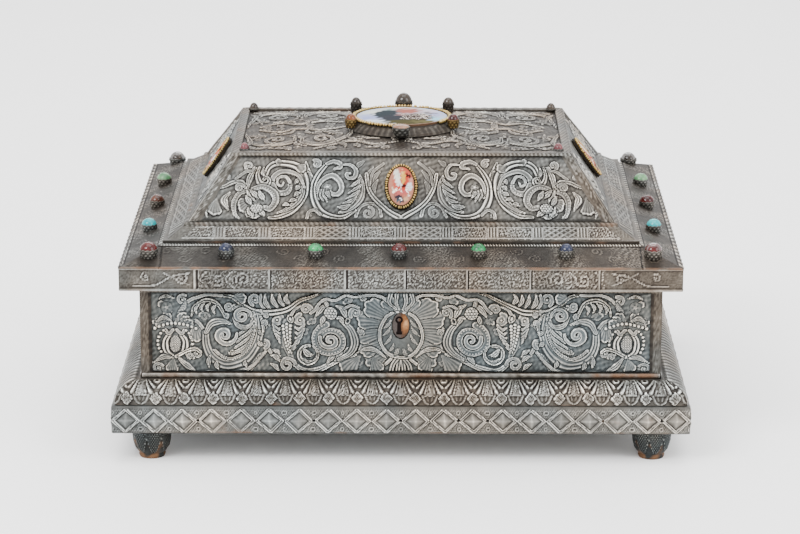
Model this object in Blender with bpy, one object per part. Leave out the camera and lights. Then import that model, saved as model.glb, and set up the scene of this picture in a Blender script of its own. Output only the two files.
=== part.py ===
"""Reliquary casket: a box clad in embossed silver, with a hipped lid that lifts off.

Metres, +Z up. The front faces -Y. The origin is on the floor, under the middle of the casket.
"""
import math

import bmesh
import bpy
from mathutils import Matrix, Vector

# Clearance between pieces that touch, also where one rests on another.
GAP = 0.0003

# Feet: four turned and ribbed balls.
FOOT_HEIGHT = 0.016
FOOT_RADIUS = 0.0108
FOOT_BASE_RADIUS = 0.0075
FOOT_INSET_X = 0.020
FOOT_INSET_Y = 0.0145
FOOT_RIB_DEPTH = 0.0008
FOOT_RIBS = 7

# Plinth board with a band of lozenges on its edge.
PLINTH_WIDTH = 0.300
PLINTH_DEPTH = 0.2266
PLINTH_THICKNESS = 0.0147
PLINTH_CORNER = 0.002
LOZENGE_PITCH = 0.0148
LOZENGE_RISE = 0.0009

# Leaf moulding between the plinth and the walls.
LEAF_SETBACK = 0.0018
LEAF_HEIGHT = 0.0106
LEAF_PITCH = 0.0148
LEAF_DEPTH = 0.0018

# Box: four walls with sunk fields, set back from the plinth's edge.
BODY_SETBACK = 0.0156
BODY_WIDTH = PLINTH_WIDTH - 2 * BODY_SETBACK
BODY_DEPTH = PLINTH_DEPTH - 2 * BODY_SETBACK
BODY_HEIGHT = 0.0603
WALL_THICKNESS = 0.009
STILE_WIDTH = 0.005
TOP_RAIL = 0.0034
BOTTOM_RAIL = 0.0029

# Embossed sheets let into the fields of the box and of the lid.
SHEET_THICKNESS = 0.002
SHEET_SINK = 0.001
EMBOSS_FLATNESS = 0.9
EMBOSS_ROOT = 0.0002
EMBOSS_LIMIT = 0.0016
STROKE_WIDTH = 0.0014
DOME_HEIGHT = 0.0013
VOLUTE_STEPS = 7

# Lock plate behind the keyhole.
LOCK_WIDTH = 0.0084
LOCK_HEIGHT = 0.0136
LOCK_THICKNESS = 0.0045
LOCK_RISE = 0.0035
KEYHOLE_RADIUS = 0.0021
KEYHOLE_SLOT = 0.0018
KEYHOLE_LENGTH = 0.0068
KEYHOLE_DEPTH = 0.0035
KEYHOLE_PIN = 0.0007

# Lid: rim board with a sloping top, which stands out past the walls.
RIM_OVERHANG = 0.0095
RIM_WIDTH = BODY_WIDTH + 2 * RIM_OVERHANG
RIM_DEPTH = BODY_DEPTH + 2 * RIM_OVERHANG
RIM_EDGE = 0.0119
RIM_SLOPE_RISE = 0.007
RIM_SLOPE_RUN = 0.0211
RIM_CORNER = 0.001

# Lid: stepped moulding under the hipped top.
STEP_HEIGHT = 0.0014
STEP_TREAD = 0.0022
BAND_RISE = 0.0056
BAND_RUN = 0.0080
BEAD_RADIUS = 0.0011

# Lid: hollow hipped shell.
HIP_RISE = 0.0309
HIP_RUN = 0.0219
SHELL_THICKNESS = 0.0075
HIP_RIB = 0.005
HIP_RAIL = 0.0025
TOP_RAIL_WIDTH = 0.005
TOP_CROWN = 0.004

# Stones in their collets along the rim.
STONE_RADIUS = 0.0040
CORNER_STONE_RADIUS = 0.0046
STONE_HEIGHT = 0.0038
COLLET_RISE = 0.0026
COLLET_WALL = 0.0004
ROW_INSET = 0.0108
FRONT_ROW = (-0.672, -0.328, -0.007, 0.299, 0.636)
SIDE_ROW = (-0.500, 0.004, 0.495)
CORNER_SHARE = 0.971

# Corner studs on the lid's top.
STUD_RADIUS = 0.0026
STUD_INSET_X = 0.0062
STUD_INSET_FRONT = 0.0068
STUD_INSET_BACK = 0.0045

# Enamel medallions: half width, half height and the rim around them.
TOP_ENAMEL = (0.0245, 0.0210)
TOP_ENAMEL_CROWN = 0.0045
TOP_PLATE_MARGIN = 0.0045
TOP_PLATE_HEIGHT = 0.0040
SMALL_ENAMEL = (0.0062, 0.0103)
SMALL_ENAMEL_CROWN = 0.0014
SMALL_PLATE_MARGIN = 0.0024
SMALL_PLATE_HEIGHT = 0.0040
ENAMEL_SEAT = 0.0012
TOP_STONE_RADIUS = 0.0030
TOP_STONE_HEIGHT = 0.0036
LARGE_TOP_STONE_RADIUS = 0.0046
BACK_STONE_RISE = 0.0075

# Heights where one piece rests on the next.
PLINTH_BOTTOM = FOOT_HEIGHT + GAP
PLINTH_TOP = PLINTH_BOTTOM + PLINTH_THICKNESS
WALL_BOTTOM = PLINTH_TOP + GAP
LEAF_TOP = WALL_BOTTOM + LEAF_HEIGHT
WALL_TOP = WALL_BOTTOM + BODY_HEIGHT
RIM_BOTTOM = WALL_TOP + GAP
RIM_EDGE_TOP = RIM_BOTTOM + RIM_EDGE
RIM_TOP = RIM_EDGE_TOP + RIM_SLOPE_RISE
STEP_BOTTOM = RIM_TOP + GAP
BAND_BOTTOM = STEP_BOTTOM + STEP_HEIGHT
BAND_TOP = BAND_BOTTOM + BAND_RISE
MOULDING_TOP = BAND_TOP + BEAD_RADIUS
SHELL_BOTTOM = MOULDING_TOP + GAP
SHELL_TOP = SHELL_BOTTOM + HIP_RISE

# Outer sizes of the hipped shell, from the rim board inwards.
MOULDING_INSET = RIM_SLOPE_RUN + STEP_TREAD + BAND_RUN + 2 * BEAD_RADIUS
SHELL_WIDTH = RIM_WIDTH - 2 * MOULDING_INSET
SHELL_DEPTH = RIM_DEPTH - 2 * MOULDING_INSET
TOP_WIDTH = SHELL_WIDTH - 2 * HIP_RUN
TOP_DEPTH = SHELL_DEPTH - 2 * HIP_RUN
SLOPE_LENGTH = math.hypot(HIP_RISE, HIP_RUN)
SLOPE_ANGLE = math.atan2(HIP_RISE, HIP_RUN)
OPENING_WIDTH = SHELL_WIDTH - 2 * SHELL_THICKNESS
OPENING_DEPTH = SHELL_DEPTH - 2 * SHELL_THICKNESS
POCKET_DEPTH = SHEET_SINK + SHEET_THICKNESS + GAP


def clear_scene():
    for thing in list(bpy.data.objects):
        bpy.data.objects.remove(thing)


def new_collection(name):
    collection = bpy.data.collections.new(name)
    bpy.context.scene.collection.children.link(collection)
    return collection


def make_material(name, colour, roughness, metallic):
    material = bpy.data.materials.new(name)
    material.use_nodes = True
    shader = material.node_tree.nodes["Principled BSDF"]
    shader.inputs["Base Color"].default_value = (*colour, 1.0)
    shader.inputs["Roughness"].default_value = roughness
    shader.inputs["Metallic"].default_value = metallic
    return material


FINISHES = {
    "silver": ((0.42, 0.42, 0.41), 0.42, 1.0),
    "silver_ground": ((0.30, 0.33, 0.35), 0.50, 1.0),
    "copper": ((0.50, 0.30, 0.20), 0.45, 1.0),
    "gilt": ((0.75, 0.62, 0.36), 0.35, 1.0),
    "enamel": ((0.70, 0.72, 0.80), 0.15, 0.0),
    "garnet": ((0.20, 0.04, 0.04), 0.10, 0.0),
    "smoky": ((0.16, 0.09, 0.06), 0.10, 0.0),
    "sapphire": ((0.05, 0.08, 0.16), 0.10, 0.0),
    "green_stone": ((0.10, 0.50, 0.28), 0.15, 0.0),
    "turquoise": ((0.14, 0.58, 0.56), 0.30, 0.0),
    "pale_stone": ((0.62, 0.40, 0.28), 0.25, 0.0),
}


def add_object(name, bm, collection, finish, place=None):
    """Turn a bmesh into an object, with its place given by a matrix."""
    mesh = bpy.data.meshes.new(name)
    bmesh.ops.recalc_face_normals(bm, faces=bm.faces)
    bm.to_mesh(mesh)
    bm.free()
    thing = bpy.data.objects.new(name, mesh)
    collection.objects.link(thing)
    if place is not None:
        thing.matrix_world = place
    if finish:
        mesh.materials.append(make_material(name, *FINISHES[finish]))
    return thing


def add_cutter(name, bm, place=None):
    cutter = add_object(name, bm, CUTTERS, None, place)
    cutter.hide_render = True
    cutter.display_type = "WIRE"
    return cutter


def combine(thing, cutter, operation, crossing=False):
    """Cut a piece with another shape, or join the shape to it."""
    modifier = thing.modifiers.new(cutter.name, "BOOLEAN")
    modifier.object = cutter
    modifier.operation = operation
    modifier.solver = "EXACT"
    modifier.use_self = crossing


def box(bm, low, high):
    """A box between two corners."""
    size = [b - a for a, b in zip(low, high)]
    middle = [(a + b) / 2 for a, b in zip(low, high)]
    matrix = Matrix.Translation(middle) @ Matrix.Diagonal((*size, 1.0))
    bmesh.ops.create_cube(bm, size=1.0, matrix=matrix)


def box_mesh(low, high):
    bm = bmesh.new()
    box(bm, low, high)
    return bm


def skin(bm, loops, ring=False):
    """A wall over loops of equal count, capped at both ends or closed into a ring."""
    rows = [[bm.verts.new(point) for point in loop] for loop in loops]
    count = len(rows[0])
    pairs = list(zip(rows, rows[1:] + rows[:1])) if ring else list(zip(rows, rows[1:]))
    for lower, upper in pairs:
        for i in range(count):
            j = (i + 1) % count
            bm.faces.new((lower[i], lower[j], upper[j], upper[i]))
    if not ring:
        bm.faces.new(rows[0])
        bm.faces.new(rows[-1])
    return rows


def fill_between(bm, outer, inner):
    """A flat face between an outer loop and an inner one."""
    edges = []
    for loop in (outer, inner):
        for a, b in zip(loop, loop[1:] + loop[:1]):
            edge = bm.edges.get((a, b))
            edges.append(edge or bm.edges.new((a, b)))
    bmesh.ops.triangle_fill(bm, use_beauty=True, use_dissolve=False, edges=edges)


def rectangle(width, depth, height, corner=0.0):
    """Corner points of a rectangle at a height, with its corners cut off if asked."""
    x, y = width / 2, depth / 2
    if corner == 0.0:
        return [(-x, -y, height), (x, -y, height), (x, y, height), (-x, y, height)]
    return [
        (-x + corner, -y, height), (x - corner, -y, height),
        (x, -y + corner, height), (x, y - corner, height),
        (x - corner, y, height), (-x + corner, y, height),
        (-x, y - corner, height), (-x, -y + corner, height),
    ]


def repeat_count(length, pitch):
    return max(2, round(length / pitch))


def banded_loop(width, depth, height, corner, counts, sink_between=0.0, rise_at=0.0):
    """Points round a rectangle: a pattern's joints and, between them, its middles.

    The joints are sunk by one amount and the middles stand out by the other.
    """
    points = []
    sides = (((0, -1), width, depth, counts[0]), ((1, 0), depth, width, counts[1]),
             ((0, 1), width, depth, counts[0]), ((-1, 0), depth, width, counts[1]))
    for (nx, ny), length, across, count in sides:
        span = length - 2 * corner
        for i in range(2 * count + 1):
            along = -span / 2 + span * i / (2 * count)
            out = across / 2 + (rise_at if i % 2 else -sink_between)
            if i in (0, 2 * count):
                out = across / 2
            points.append((nx * out - ny * along, ny * out + nx * along, height))
    return points


def oval(half_width, half_height, level, steps, centre=(0.0, 0.0)):
    turn = 2 * math.pi / steps
    return [(centre[0] + half_width * math.cos(turn * i),
             centre[1] + half_height * math.sin(turn * i), level) for i in range(steps)]


class Relief:
    """The raised strokes and domes of one sheet, in the sheet's own flat coordinates.

    Places are shares of the half width and half height, and lengths are shares of the height.
    """

    def __init__(self, width, height):
        self.half_width = width / 2
        self.half_height = height / 2
        self.height = height
        self.strokes = []
        self.domes = []

    def point(self, across, up):
        return Vector((across * self.half_width, up * self.half_height))

    def stroke(self, points, radii, closed=False):
        self.strokes.append(([(p.x, p.y, r) for p, r in zip(points, radii)], closed))

    def volute(self, across, up, radius, turns, start, spin, weight=1.0, sides=(1, -1)):
        """A spiral that starts at its outer end and thins towards its eye."""
        steps = max(4, round(VOLUTE_STEPS * turns))
        for side in sides:
            centre = self.point(across * side, up)
            points = []
            radii = []
            for i in range(steps + 1):
                t = i / steps
                angle = math.radians(start) + spin * 2 * math.pi * turns * t
                reach = radius * self.height * (1 - 0.80 * t)
                offset = Vector((side * reach * math.cos(angle), reach * math.sin(angle)))
                points.append(centre + offset)
                radii.append(weight * STROKE_WIDTH * (1.15 - 0.55 * t))
            self.stroke(points, radii)

    def leaf(self, root, tip, bend, width, steps=2, sides=(1, -1)):
        """A pointed leaf with a raised midrib, bent sideways by a share of its length."""
        for side in sides:
            start = self.point(root[0] * side, root[1])
            end = self.point(tip[0] * side, tip[1])
            across = Vector((-(end - start).y, (end - start).x)) * bend * side
            middle = (start + end) / 2 + across
            points = []
            radii = []
            for i in range(steps + 1):
                t = i / steps
                points.append(start * (1 - t) ** 2 + middle * 2 * t * (1 - t) + end * t ** 2)
                swell = math.sin(math.pi * (0.12 + 0.80 * t)) ** 0.8
                radii.append(width * self.height * max(0.15, swell))
            self.stroke(points, radii)

    def stem(self, knots, weight=0.8, steps=1, sides=(1, -1)):
        """A tendril through a few places, rounded between them."""
        for side in sides:
            places = [self.point(across * side, up) for across, up in knots]
            points = []
            for i in range(len(places) - 1):
                before = places[max(0, i - 1)]
                after = places[min(len(places) - 1, i + 2)]
                for step in range(steps):
                    t = step / steps
                    points.append(catmull(before, places[i], places[i + 1], after, t))
            points.append(places[-1])
            self.stroke(points, [weight * STROKE_WIDTH] * len(points))

    def ring(self, across, up, half_width, half_height, weight=0.8, steps=10, sides=(1, -1)):
        """A closed ring."""
        for side in sides:
            centre = self.point(across * side, up)
            points = []
            for i in range(steps):
                angle = 2 * math.pi * (i + 0.25) / steps
                points.append(centre + self.height * Vector(
                    (side * half_width * math.cos(angle), half_height * math.sin(angle))))
            self.stroke(points, [weight * STROKE_WIDTH] * steps, closed=True)

    def dome(self, across, up, half_width, half_height, sides=(1, -1)):
        for side in sides:
            centre = self.point(across * side, up)
            self.domes.append((centre, half_width * self.height, half_height * self.height))

    def mesh(self, name, level=None):
        """All the strokes and domes as one mesh of closed shapes, half sunk at height 0."""
        curve = bpy.data.curves.new(name, "CURVE")
        curve.dimensions = "3D"
        curve.bevel_depth = 1.0
        curve.bevel_resolution = 0
        curve.use_fill_caps = True
        for stroke, closed in self.strokes:
            spline = curve.splines.new("POLY")
            spline.use_cyclic_u = closed
            spline.points.add(len(stroke) - 1)
            for knot, (u, v, radius) in zip(spline.points, stroke):
                knot.co = (u, v, 0.0, 1.0)
                knot.radius = radius
        guide = bpy.data.objects.new(name, curve)
        CUTTERS.objects.link(guide)
        bpy.context.view_layer.update()
        evaluated = guide.evaluated_get(bpy.context.evaluated_depsgraph_get())
        mesh = bpy.data.meshes.new_from_object(evaluated)
        bpy.data.objects.remove(guide)
        bm = bmesh.new()
        bm.from_mesh(mesh)
        bmesh.ops.remove_doubles(bm, verts=bm.verts, dist=0.000001)
        for centre, half_width, half_height in self.domes:
            size = Matrix.Diagonal((half_width, half_height, DOME_HEIGHT / EMBOSS_FLATNESS, 1.0))
            place = Matrix.Translation((centre.x, centre.y, 0.0)) @ size
            bmesh.ops.create_uvsphere(bm, u_segments=8, v_segments=4, radius=1.0, matrix=place)
        for vertex in bm.verts:
            swell = vertex.co.z * EMBOSS_FLATNESS / EMBOSS_LIMIT
            vertex.co.z = EMBOSS_LIMIT * math.tanh(swell) - EMBOSS_ROOT
            if level:
                vertex.co.z += level(vertex.co.x, vertex.co.y)
        return bm


def catmull(before, start, end, after, t):
    """A point on a smooth curve that passes from start to end."""
    return 0.5 * (2 * start + (end - before) * t
                  + (2 * before - 5 * start + 4 * end - after) * t ** 2
                  + (3 * start - before - 3 * end + after) * t ** 3)


def sheet_mesh(bottom_width, top_width, height, cells=(1, 1), level=None):
    """A sheet with its outer side at height 0 and its back below, straight or tapered."""
    bm = bmesh.new()
    bmesh.ops.create_grid(bm, x_segments=cells[0], y_segments=cells[1], size=0.5)
    for vertex in bm.verts:
        share = vertex.co.y + 0.5
        width = bottom_width + (top_width - bottom_width) * share
        vertex.co = (vertex.co.x * width, vertex.co.y * height, 0.0)
    grown = bmesh.ops.extrude_face_region(bm, geom=bm.faces[:])
    lower = [item for item in grown["geom"] if isinstance(item, bmesh.types.BMVert)]
    bmesh.ops.translate(bm, vec=(0.0, 0.0, -SHEET_THICKNESS), verts=lower)
    if level:
        raised = set(bm.verts) - set(lower)
        for vertex in raised:
            vertex.co.z += level(vertex.co.x, vertex.co.y)
    return bm


def embossed_sheet(name, relief, sizes, place, cells=(1, 1), level=None, hole=None):
    """A sheet with its relief raised on it, and a hole through it if asked."""
    sheet = add_object(name, sheet_mesh(*sizes, cells, level), CASKET, "silver_ground", place)
    if hole:
        combine(sheet, hole, "DIFFERENCE")
    raised = add_cutter(name + "_relief", relief.mesh(name + "_strokes", level), place)
    combine(sheet, raised, "UNION", crossing=True)
    return sheet


def facing(side, distance, middle_height, tilt=math.pi / 2):
    """A matrix whose Z points out of a side: 0 front, 1 right, 2 back, 3 left."""
    turn = Matrix.Rotation(side * math.pi / 2, 4, "Z")
    out = Matrix.Translation((0.0, -distance, middle_height))
    return turn @ out @ Matrix.Rotation(tilt, 4, "X")


def front_scrolls(width, height):
    """The box's front: a cartouche between scrolls, drop leaves and pomegranates."""
    relief = Relief(width, height)
    relief.ring(0.0, -0.03, 0.262, 0.295, 1.0, sides=(1,))
    relief.leaf((0.095, 0.55), (0.185, 0.86), 0.25, 0.050)
    relief.leaf((0.110, 0.20), (0.200, 0.32), 0.25, 0.055)
    relief.leaf((0.110, -0.15), (0.190, -0.22), -0.2, 0.050)
    relief.leaf((0.085, -0.55), (0.170, -0.80), 0.25, 0.050)
    relief.leaf((0.0, -0.70), (0.0, -0.95), 0.0, 0.055, sides=(1,))
    relief.volute(0.275, -0.20, 0.265, 1.55, -45, -1, 1.25)
    relief.stem(((0.345, -0.62), (0.45, -0.86), (0.62, -0.80), (0.70, -0.86)))
    relief.dome(0.278, 0.50, 0.085, 0.080)
    relief.leaf((0.24, 0.48), (0.205, 0.42), 0.4, 0.040)
    relief.leaf((0.315, 0.55), (0.375, 0.40), 0.4, 0.045)
    relief.stem(((0.19, 0.90), (0.30, 0.88), (0.40, 0.76),
                 (0.47, 0.60), (0.56, 0.70), (0.63, 0.90)))
    relief.leaf((0.43, 0.55), (0.445, -0.62), 0.02, 0.050, steps=3)
    relief.leaf((0.435, 0.50), (0.385, -0.20), 0.35, 0.040)
    relief.leaf((0.440, 0.50), (0.500, -0.20), -0.35, 0.040)
    relief.dome(0.385, -0.62, 0.100, 0.095)
    relief.volute(0.698, -0.02, 0.345, 1.70, -105, 1, 1.35)
    relief.leaf((0.70, 0.74), (0.80, 0.44), -0.4, 0.050)
    relief.dome(0.903, -0.16, 0.105, 0.140)
    relief.ring(0.903, -0.12, 0.215, 0.245, 0.75, steps=8)
    relief.leaf((0.903, 0.42), (0.903, 0.86), 0.0, 0.060)
    return relief


def plain_scrolls(width, height, pairs):
    """The box's other sides: a palmette between pairs of scrolls."""
    relief = Relief(width, height)
    relief.leaf((0.0, -0.80), (0.0, 0.80), 0.0, 0.110, sides=(1,))
    relief.leaf((0.01, -0.70), (0.30 / pairs, 0.55), -0.2, 0.070)
    for pair in range(pairs):
        middle = (pair + 0.66) / (pairs + 0.15)
        spin = 1 if pair % 2 else -1
        relief.volute(middle, 0.0, 0.33, 1.3, -90, spin, 1.35)
    relief.leaf((0.95, -0.60), (0.95, 0.60), 0.05, 0.060)
    return relief


def lid_front_scrolls(width, height):
    """The lid's front slope: two scrolls and a flower each side of the medallion."""
    relief = Relief(width, height)
    relief.volute(0.590, 0.12, 0.385, 1.55, -60, 1, 1.3)
    relief.volute(0.345, 0.00, 0.370, 1.45, 75, -1, 1.2)
    relief.dome(0.735, -0.42, 0.150, 0.150)
    relief.leaf((0.720, -0.10), (0.655, 0.76), -0.15, 0.060)
    relief.leaf((0.905, -0.86), (0.800, 0.20), 0.20, 0.070)
    relief.stem(((0.185, 0.86), (0.205, 0.10), (0.150, -0.60), (0.060, -0.88)), 0.9)
    relief.volute(0.470, 0.72, 0.090, 0.8, 180, -1, 0.8)
    relief.leaf((0.245, -0.80), (0.130, -0.84), -0.1, 0.050)
    return relief


def lid_plain_scrolls(width, height, scrolls):
    """The lid's other slopes, with one scroll or two in each half."""
    relief = Relief(width, height)
    for i in range(scrolls):
        middle = (i + 0.95) / (scrolls + 0.95)
        relief.volute(middle, 0.0, 0.36, 1.3, -70, 1 if i % 2 else -1, 1.3)
    relief.leaf((0.90, -0.84), (0.80, 0.10), 0.20, 0.070)
    return relief


def top_scrolls(width, height):
    """The lid's top: scrolls that run out from the medallion to the corners."""
    relief = Relief(width, height)
    for up in (1, -1):
        relief.volute(0.520, 0.44 * up, 0.165, 1.3, -90 * up, up, 1.25)
        relief.leaf((0.700, 0.60 * up), (0.930, 0.86 * up), -0.25 * up, 0.030)
        relief.leaf((0.140, 0.84 * up), (0.360, 0.80 * up), 0.15 * up, 0.028)
    relief.leaf((0.440, 0.0), (0.930, 0.0), 0.0, 0.034)
    return relief


def build_feet():
    """Ribbed ball feet, flat underneath."""
    profile = ((0.0, 0.0, 0.0), (0.12, 0.35, 0.3), (0.50, 0.86, 1.0),
               (0.78, 1.0, 1.0), (1.0, 0.72, 0.4))
    for across, side_name in ((-1, "left"), (1, "right")):
        for along, end_name in ((-1, "front"), (1, "back")):
            bm = bmesh.new()
            loops = []
            for height, swell, ribbing in profile:
                radius = FOOT_BASE_RADIUS + (FOOT_RADIUS - FOOT_BASE_RADIUS) * swell
                loop = []
                for i in range(2 * FOOT_RIBS):
                    groove = FOOT_RIB_DEPTH * ribbing if i % 2 else 0.0
                    angle = math.pi * i / FOOT_RIBS
                    loop.append(((radius - groove) * math.cos(angle),
                                 (radius - groove) * math.sin(angle), height * FOOT_HEIGHT))
                loops.append(loop)
            skin(bm, loops)
            place = Matrix.Translation((across * (PLINTH_WIDTH / 2 - FOOT_INSET_X),
                                        along * (PLINTH_DEPTH / 2 - FOOT_INSET_Y), 0.0))
            add_object(f"foot_{end_name}_{side_name}", bm, CASKET, "copper", place)


def build_plinth():
    """Board whose edge carries a band of raised lozenges."""
    counts = (repeat_count(PLINTH_WIDTH, LOZENGE_PITCH), repeat_count(PLINTH_DEPTH, LOZENGE_PITCH))
    width = PLINTH_WIDTH - 2 * LOZENGE_RISE
    depth = PLINTH_DEPTH - 2 * LOZENGE_RISE
    loops = []
    for share, rise in ((0.0, 0.0), (0.5, LOZENGE_RISE), (1.0, 0.0)):
        level = PLINTH_BOTTOM + share * PLINTH_THICKNESS
        loops.append(banded_loop(width, depth, level, PLINTH_CORNER, counts, 0.0, rise))
    bm = bmesh.new()
    rows = skin(bm, loops)
    raised = {vertex for i, vertex in enumerate(rows[1]) if stands_out(i, counts)}
    for face in [face for face in bm.faces if len(face.verts) == 4]:
        peaks = [vertex for vertex in face.verts if vertex in raised]
        if peaks:
            corners = list(face.verts)
            at = corners.index(peaks[0])
            bmesh.utils.face_split(face, corners[at - 1], corners[(at + 1) % 4])
    add_object("plinth_board", bm, CASKET, "silver")


def stands_out(index, counts):
    """Whether a point of a banded loop is the middle of one of its repeats."""
    for count in (counts[0], counts[1], counts[0], counts[1]):
        if index <= 2 * count:
            return index % 2 == 1
        index -= 2 * count + 1
    return False


def build_leaf_moulding():
    """Swelling moulding with a row of hanging leaves, open in the middle for the walls."""
    counts = (repeat_count(PLINTH_WIDTH, LEAF_PITCH), repeat_count(PLINTH_DEPTH, LEAF_PITCH))
    run = BODY_SETBACK - LEAF_SETBACK - GAP
    profile = ((0.0, 0.0), (0.05, 0.45), (0.40, 0.84))
    loops = []
    for inward, upward in profile:
        inset = LEAF_SETBACK + inward * run
        loops.append(banded_loop(PLINTH_WIDTH - 2 * inset, PLINTH_DEPTH - 2 * inset,
                                 WALL_BOTTOM + upward * LEAF_HEIGHT, LEAF_DEPTH, counts,
                                 LEAF_DEPTH * (1 - 0.6 * inward), 0.0))
    bm = bmesh.new()
    rows = [[bm.verts.new(point) for point in loop] for loop in loops]
    for lower, upper in zip(rows, rows[1:]):
        for i in range(len(lower)):
            j = (i + 1) % len(lower)
            bm.faces.new((lower[i], lower[j], upper[j], upper[i]))
    inner = (BODY_WIDTH + 2 * GAP, BODY_DEPTH + 2 * GAP)
    top = [bm.verts.new(point) for point in rectangle(*inner, LEAF_TOP)]
    bottom = [bm.verts.new(point) for point in rectangle(*inner, WALL_BOTTOM)]
    fill_between(bm, rows[-1], top)
    fill_between(bm, rows[0], bottom)
    for i in range(4):
        j = (i + 1) % 4
        bm.faces.new((top[i], top[j], bottom[j], bottom[i]))
    add_object("leaf_moulding", bm, CASKET, "silver")


def field_size(length):
    """Width, height and middle height of the sunk field in one wall of the box."""
    low = LEAF_TOP + BOTTOM_RAIL
    high = WALL_TOP - TOP_RAIL
    return length - 2 * STILE_WIDTH, high - low, (high + low) / 2


def build_walls():
    """Four walls in one, with a sunk field in each and a pocket for the lock."""
    outer = box_mesh((-BODY_WIDTH / 2, -BODY_DEPTH / 2, WALL_BOTTOM),
                     (BODY_WIDTH / 2, BODY_DEPTH / 2, WALL_TOP))
    walls = add_object("walls", outer, CASKET, "silver")
    inner_x = BODY_WIDTH / 2 - WALL_THICKNESS
    inner_y = BODY_DEPTH / 2 - WALL_THICKNESS
    hollow = box_mesh((-inner_x, -inner_y, WALL_BOTTOM - WALL_THICKNESS),
                      (inner_x, inner_y, WALL_TOP + WALL_THICKNESS))
    combine(walls, add_cutter("hollow", hollow), "DIFFERENCE")
    for side, length in enumerate((BODY_WIDTH, BODY_DEPTH, BODY_WIDTH, BODY_DEPTH)):
        reach = (BODY_DEPTH, BODY_WIDTH)[side % 2] / 2
        width, height, middle = field_size(length)
        pocket = box_mesh((-width / 2, -height / 2, -POCKET_DEPTH),
                          (width / 2, height / 2, POCKET_DEPTH))
        cutter = add_cutter(f"field_{side}", pocket, facing(side, reach, middle))
        combine(walls, cutter, "DIFFERENCE")
    lock = bmesh.new()
    back = -SHEET_SINK - LOCK_THICKNESS - GAP
    skin(lock, [oval(LOCK_WIDTH / 2 + GAP, LOCK_HEIGHT / 2 + GAP, level, 16)
                for level in (back, POCKET_DEPTH)])
    combine(walls, add_cutter("lock_pocket", lock, lock_place()), "DIFFERENCE")


def lock_place():
    middle = field_size(BODY_WIDTH)[2]
    return facing(0, BODY_DEPTH / 2, middle + LOCK_RISE)


def build_lock():
    """Oval plate with a blind keyhole and the pin that a hollow key slides on."""
    bm = bmesh.new()
    skin(bm, [oval(LOCK_WIDTH / 2, LOCK_HEIGHT / 2, level, 16)
              for level in (-SHEET_SINK - LOCK_THICKNESS, -SHEET_SINK)])
    plate = add_object("lock_plate", bm, CASKET, "copper", lock_place())
    keyhole = bmesh.new()
    bottom = -SHEET_SINK - KEYHOLE_DEPTH
    eye = KEYHOLE_LENGTH / 2 - KEYHOLE_RADIUS
    skin(keyhole, [oval(KEYHOLE_RADIUS, KEYHOLE_RADIUS, level, 12, (0.0, eye))
                   for level in (bottom, SHEET_SINK)])
    box(keyhole, (-KEYHOLE_SLOT / 2, -KEYHOLE_LENGTH / 2, bottom),
        (KEYHOLE_SLOT / 2, eye, SHEET_SINK))
    combine(plate, add_cutter("keyhole", keyhole, lock_place()), "DIFFERENCE", crossing=True)
    pin = bmesh.new()
    skin(pin, [oval(KEYHOLE_PIN, KEYHOLE_PIN, level, 8, (0.0, eye))
               for level in (bottom - KEYHOLE_PIN, -SHEET_SINK - KEYHOLE_PIN)])
    combine(plate, add_cutter("keyhole_pin", pin, lock_place()), "UNION")


def build_box_sheets():
    """The embossed sheets in the four fields of the box."""
    names = ("front_sheet", "right_sheet", "back_sheet", "left_sheet")
    for side, length in enumerate((BODY_WIDTH, BODY_DEPTH, BODY_WIDTH, BODY_DEPTH)):
        width, height, middle = field_size(length)
        width -= 2 * GAP
        height -= 2 * GAP
        reach = (BODY_DEPTH, BODY_WIDTH)[side % 2] / 2
        hole = None
        if side == 0:
            relief = front_scrolls(width, height)
            drill = bmesh.new()
            skin(drill, [oval(LOCK_WIDTH / 2 + GAP, LOCK_HEIGHT / 2 + GAP, level, 16)
                         for level in (-LOCK_THICKNESS, LOCK_THICKNESS)])
            hole = add_cutter("lock_hole", drill, lock_place())
        else:
            relief = plain_scrolls(width, height, 3 if side == 2 else 2)
        place = facing(side, reach - SHEET_SINK, middle)
        embossed_sheet(names[side], relief, (width, width, height), place, hole=hole)


def slope_level(distance_from_edge):
    """Height of the rim board's sloping top at a distance in from its edge."""
    return RIM_EDGE_TOP + RIM_SLOPE_RISE * distance_from_edge / RIM_SLOPE_RUN


def rim_spots():
    """Name, place, radius, height and finish of each stone along the rim."""
    size = (STONE_RADIUS, STONE_HEIGHT)
    corner_size = (CORNER_STONE_RADIUS, STONE_HEIGHT * CORNER_STONE_RADIUS / STONE_RADIUS)
    half_x = RIM_WIDTH / 2 - ROW_INSET
    half_y = RIM_DEPTH / 2 - ROW_INSET
    spots = []
    row_finishes = ("sapphire", "green_stone", "garnet", "green_stone", "sapphire")
    for y, row in ((-half_y, "front"), (half_y, "back")):
        for i, share in enumerate(FRONT_ROW):
            spots.append((f"stone_{row}_{i + 1}", share * half_x, y, *size, row_finishes[i]))
    side_finishes = ("turquoise", "garnet", "green_stone")
    for x, row in ((-half_x, "left"), (half_x, "right")):
        for i, share in enumerate(SIDE_ROW):
            spots.append((f"stone_{row}_{i + 1}", x, share * half_y, *size, side_finishes[i]))
        corner = x * CORNER_SHARE
        spots.append((f"stone_front_{row}", corner, -half_y, *corner_size, "garnet"))
        spots.append((f"stone_back_{row}", corner, half_y * CORNER_SHARE, *corner_size, "smoky"))
    return spots


def collet(bm, x, y, level, radius, sunk):
    """A stone's setting: a short drum, wider at its lip, let into what carries it."""
    skin(bm, [oval(reach, reach, height, 6, (x, y)) for reach, height in
              ((radius - COLLET_WALL, level - sunk), (radius + COLLET_WALL, level))])


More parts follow.
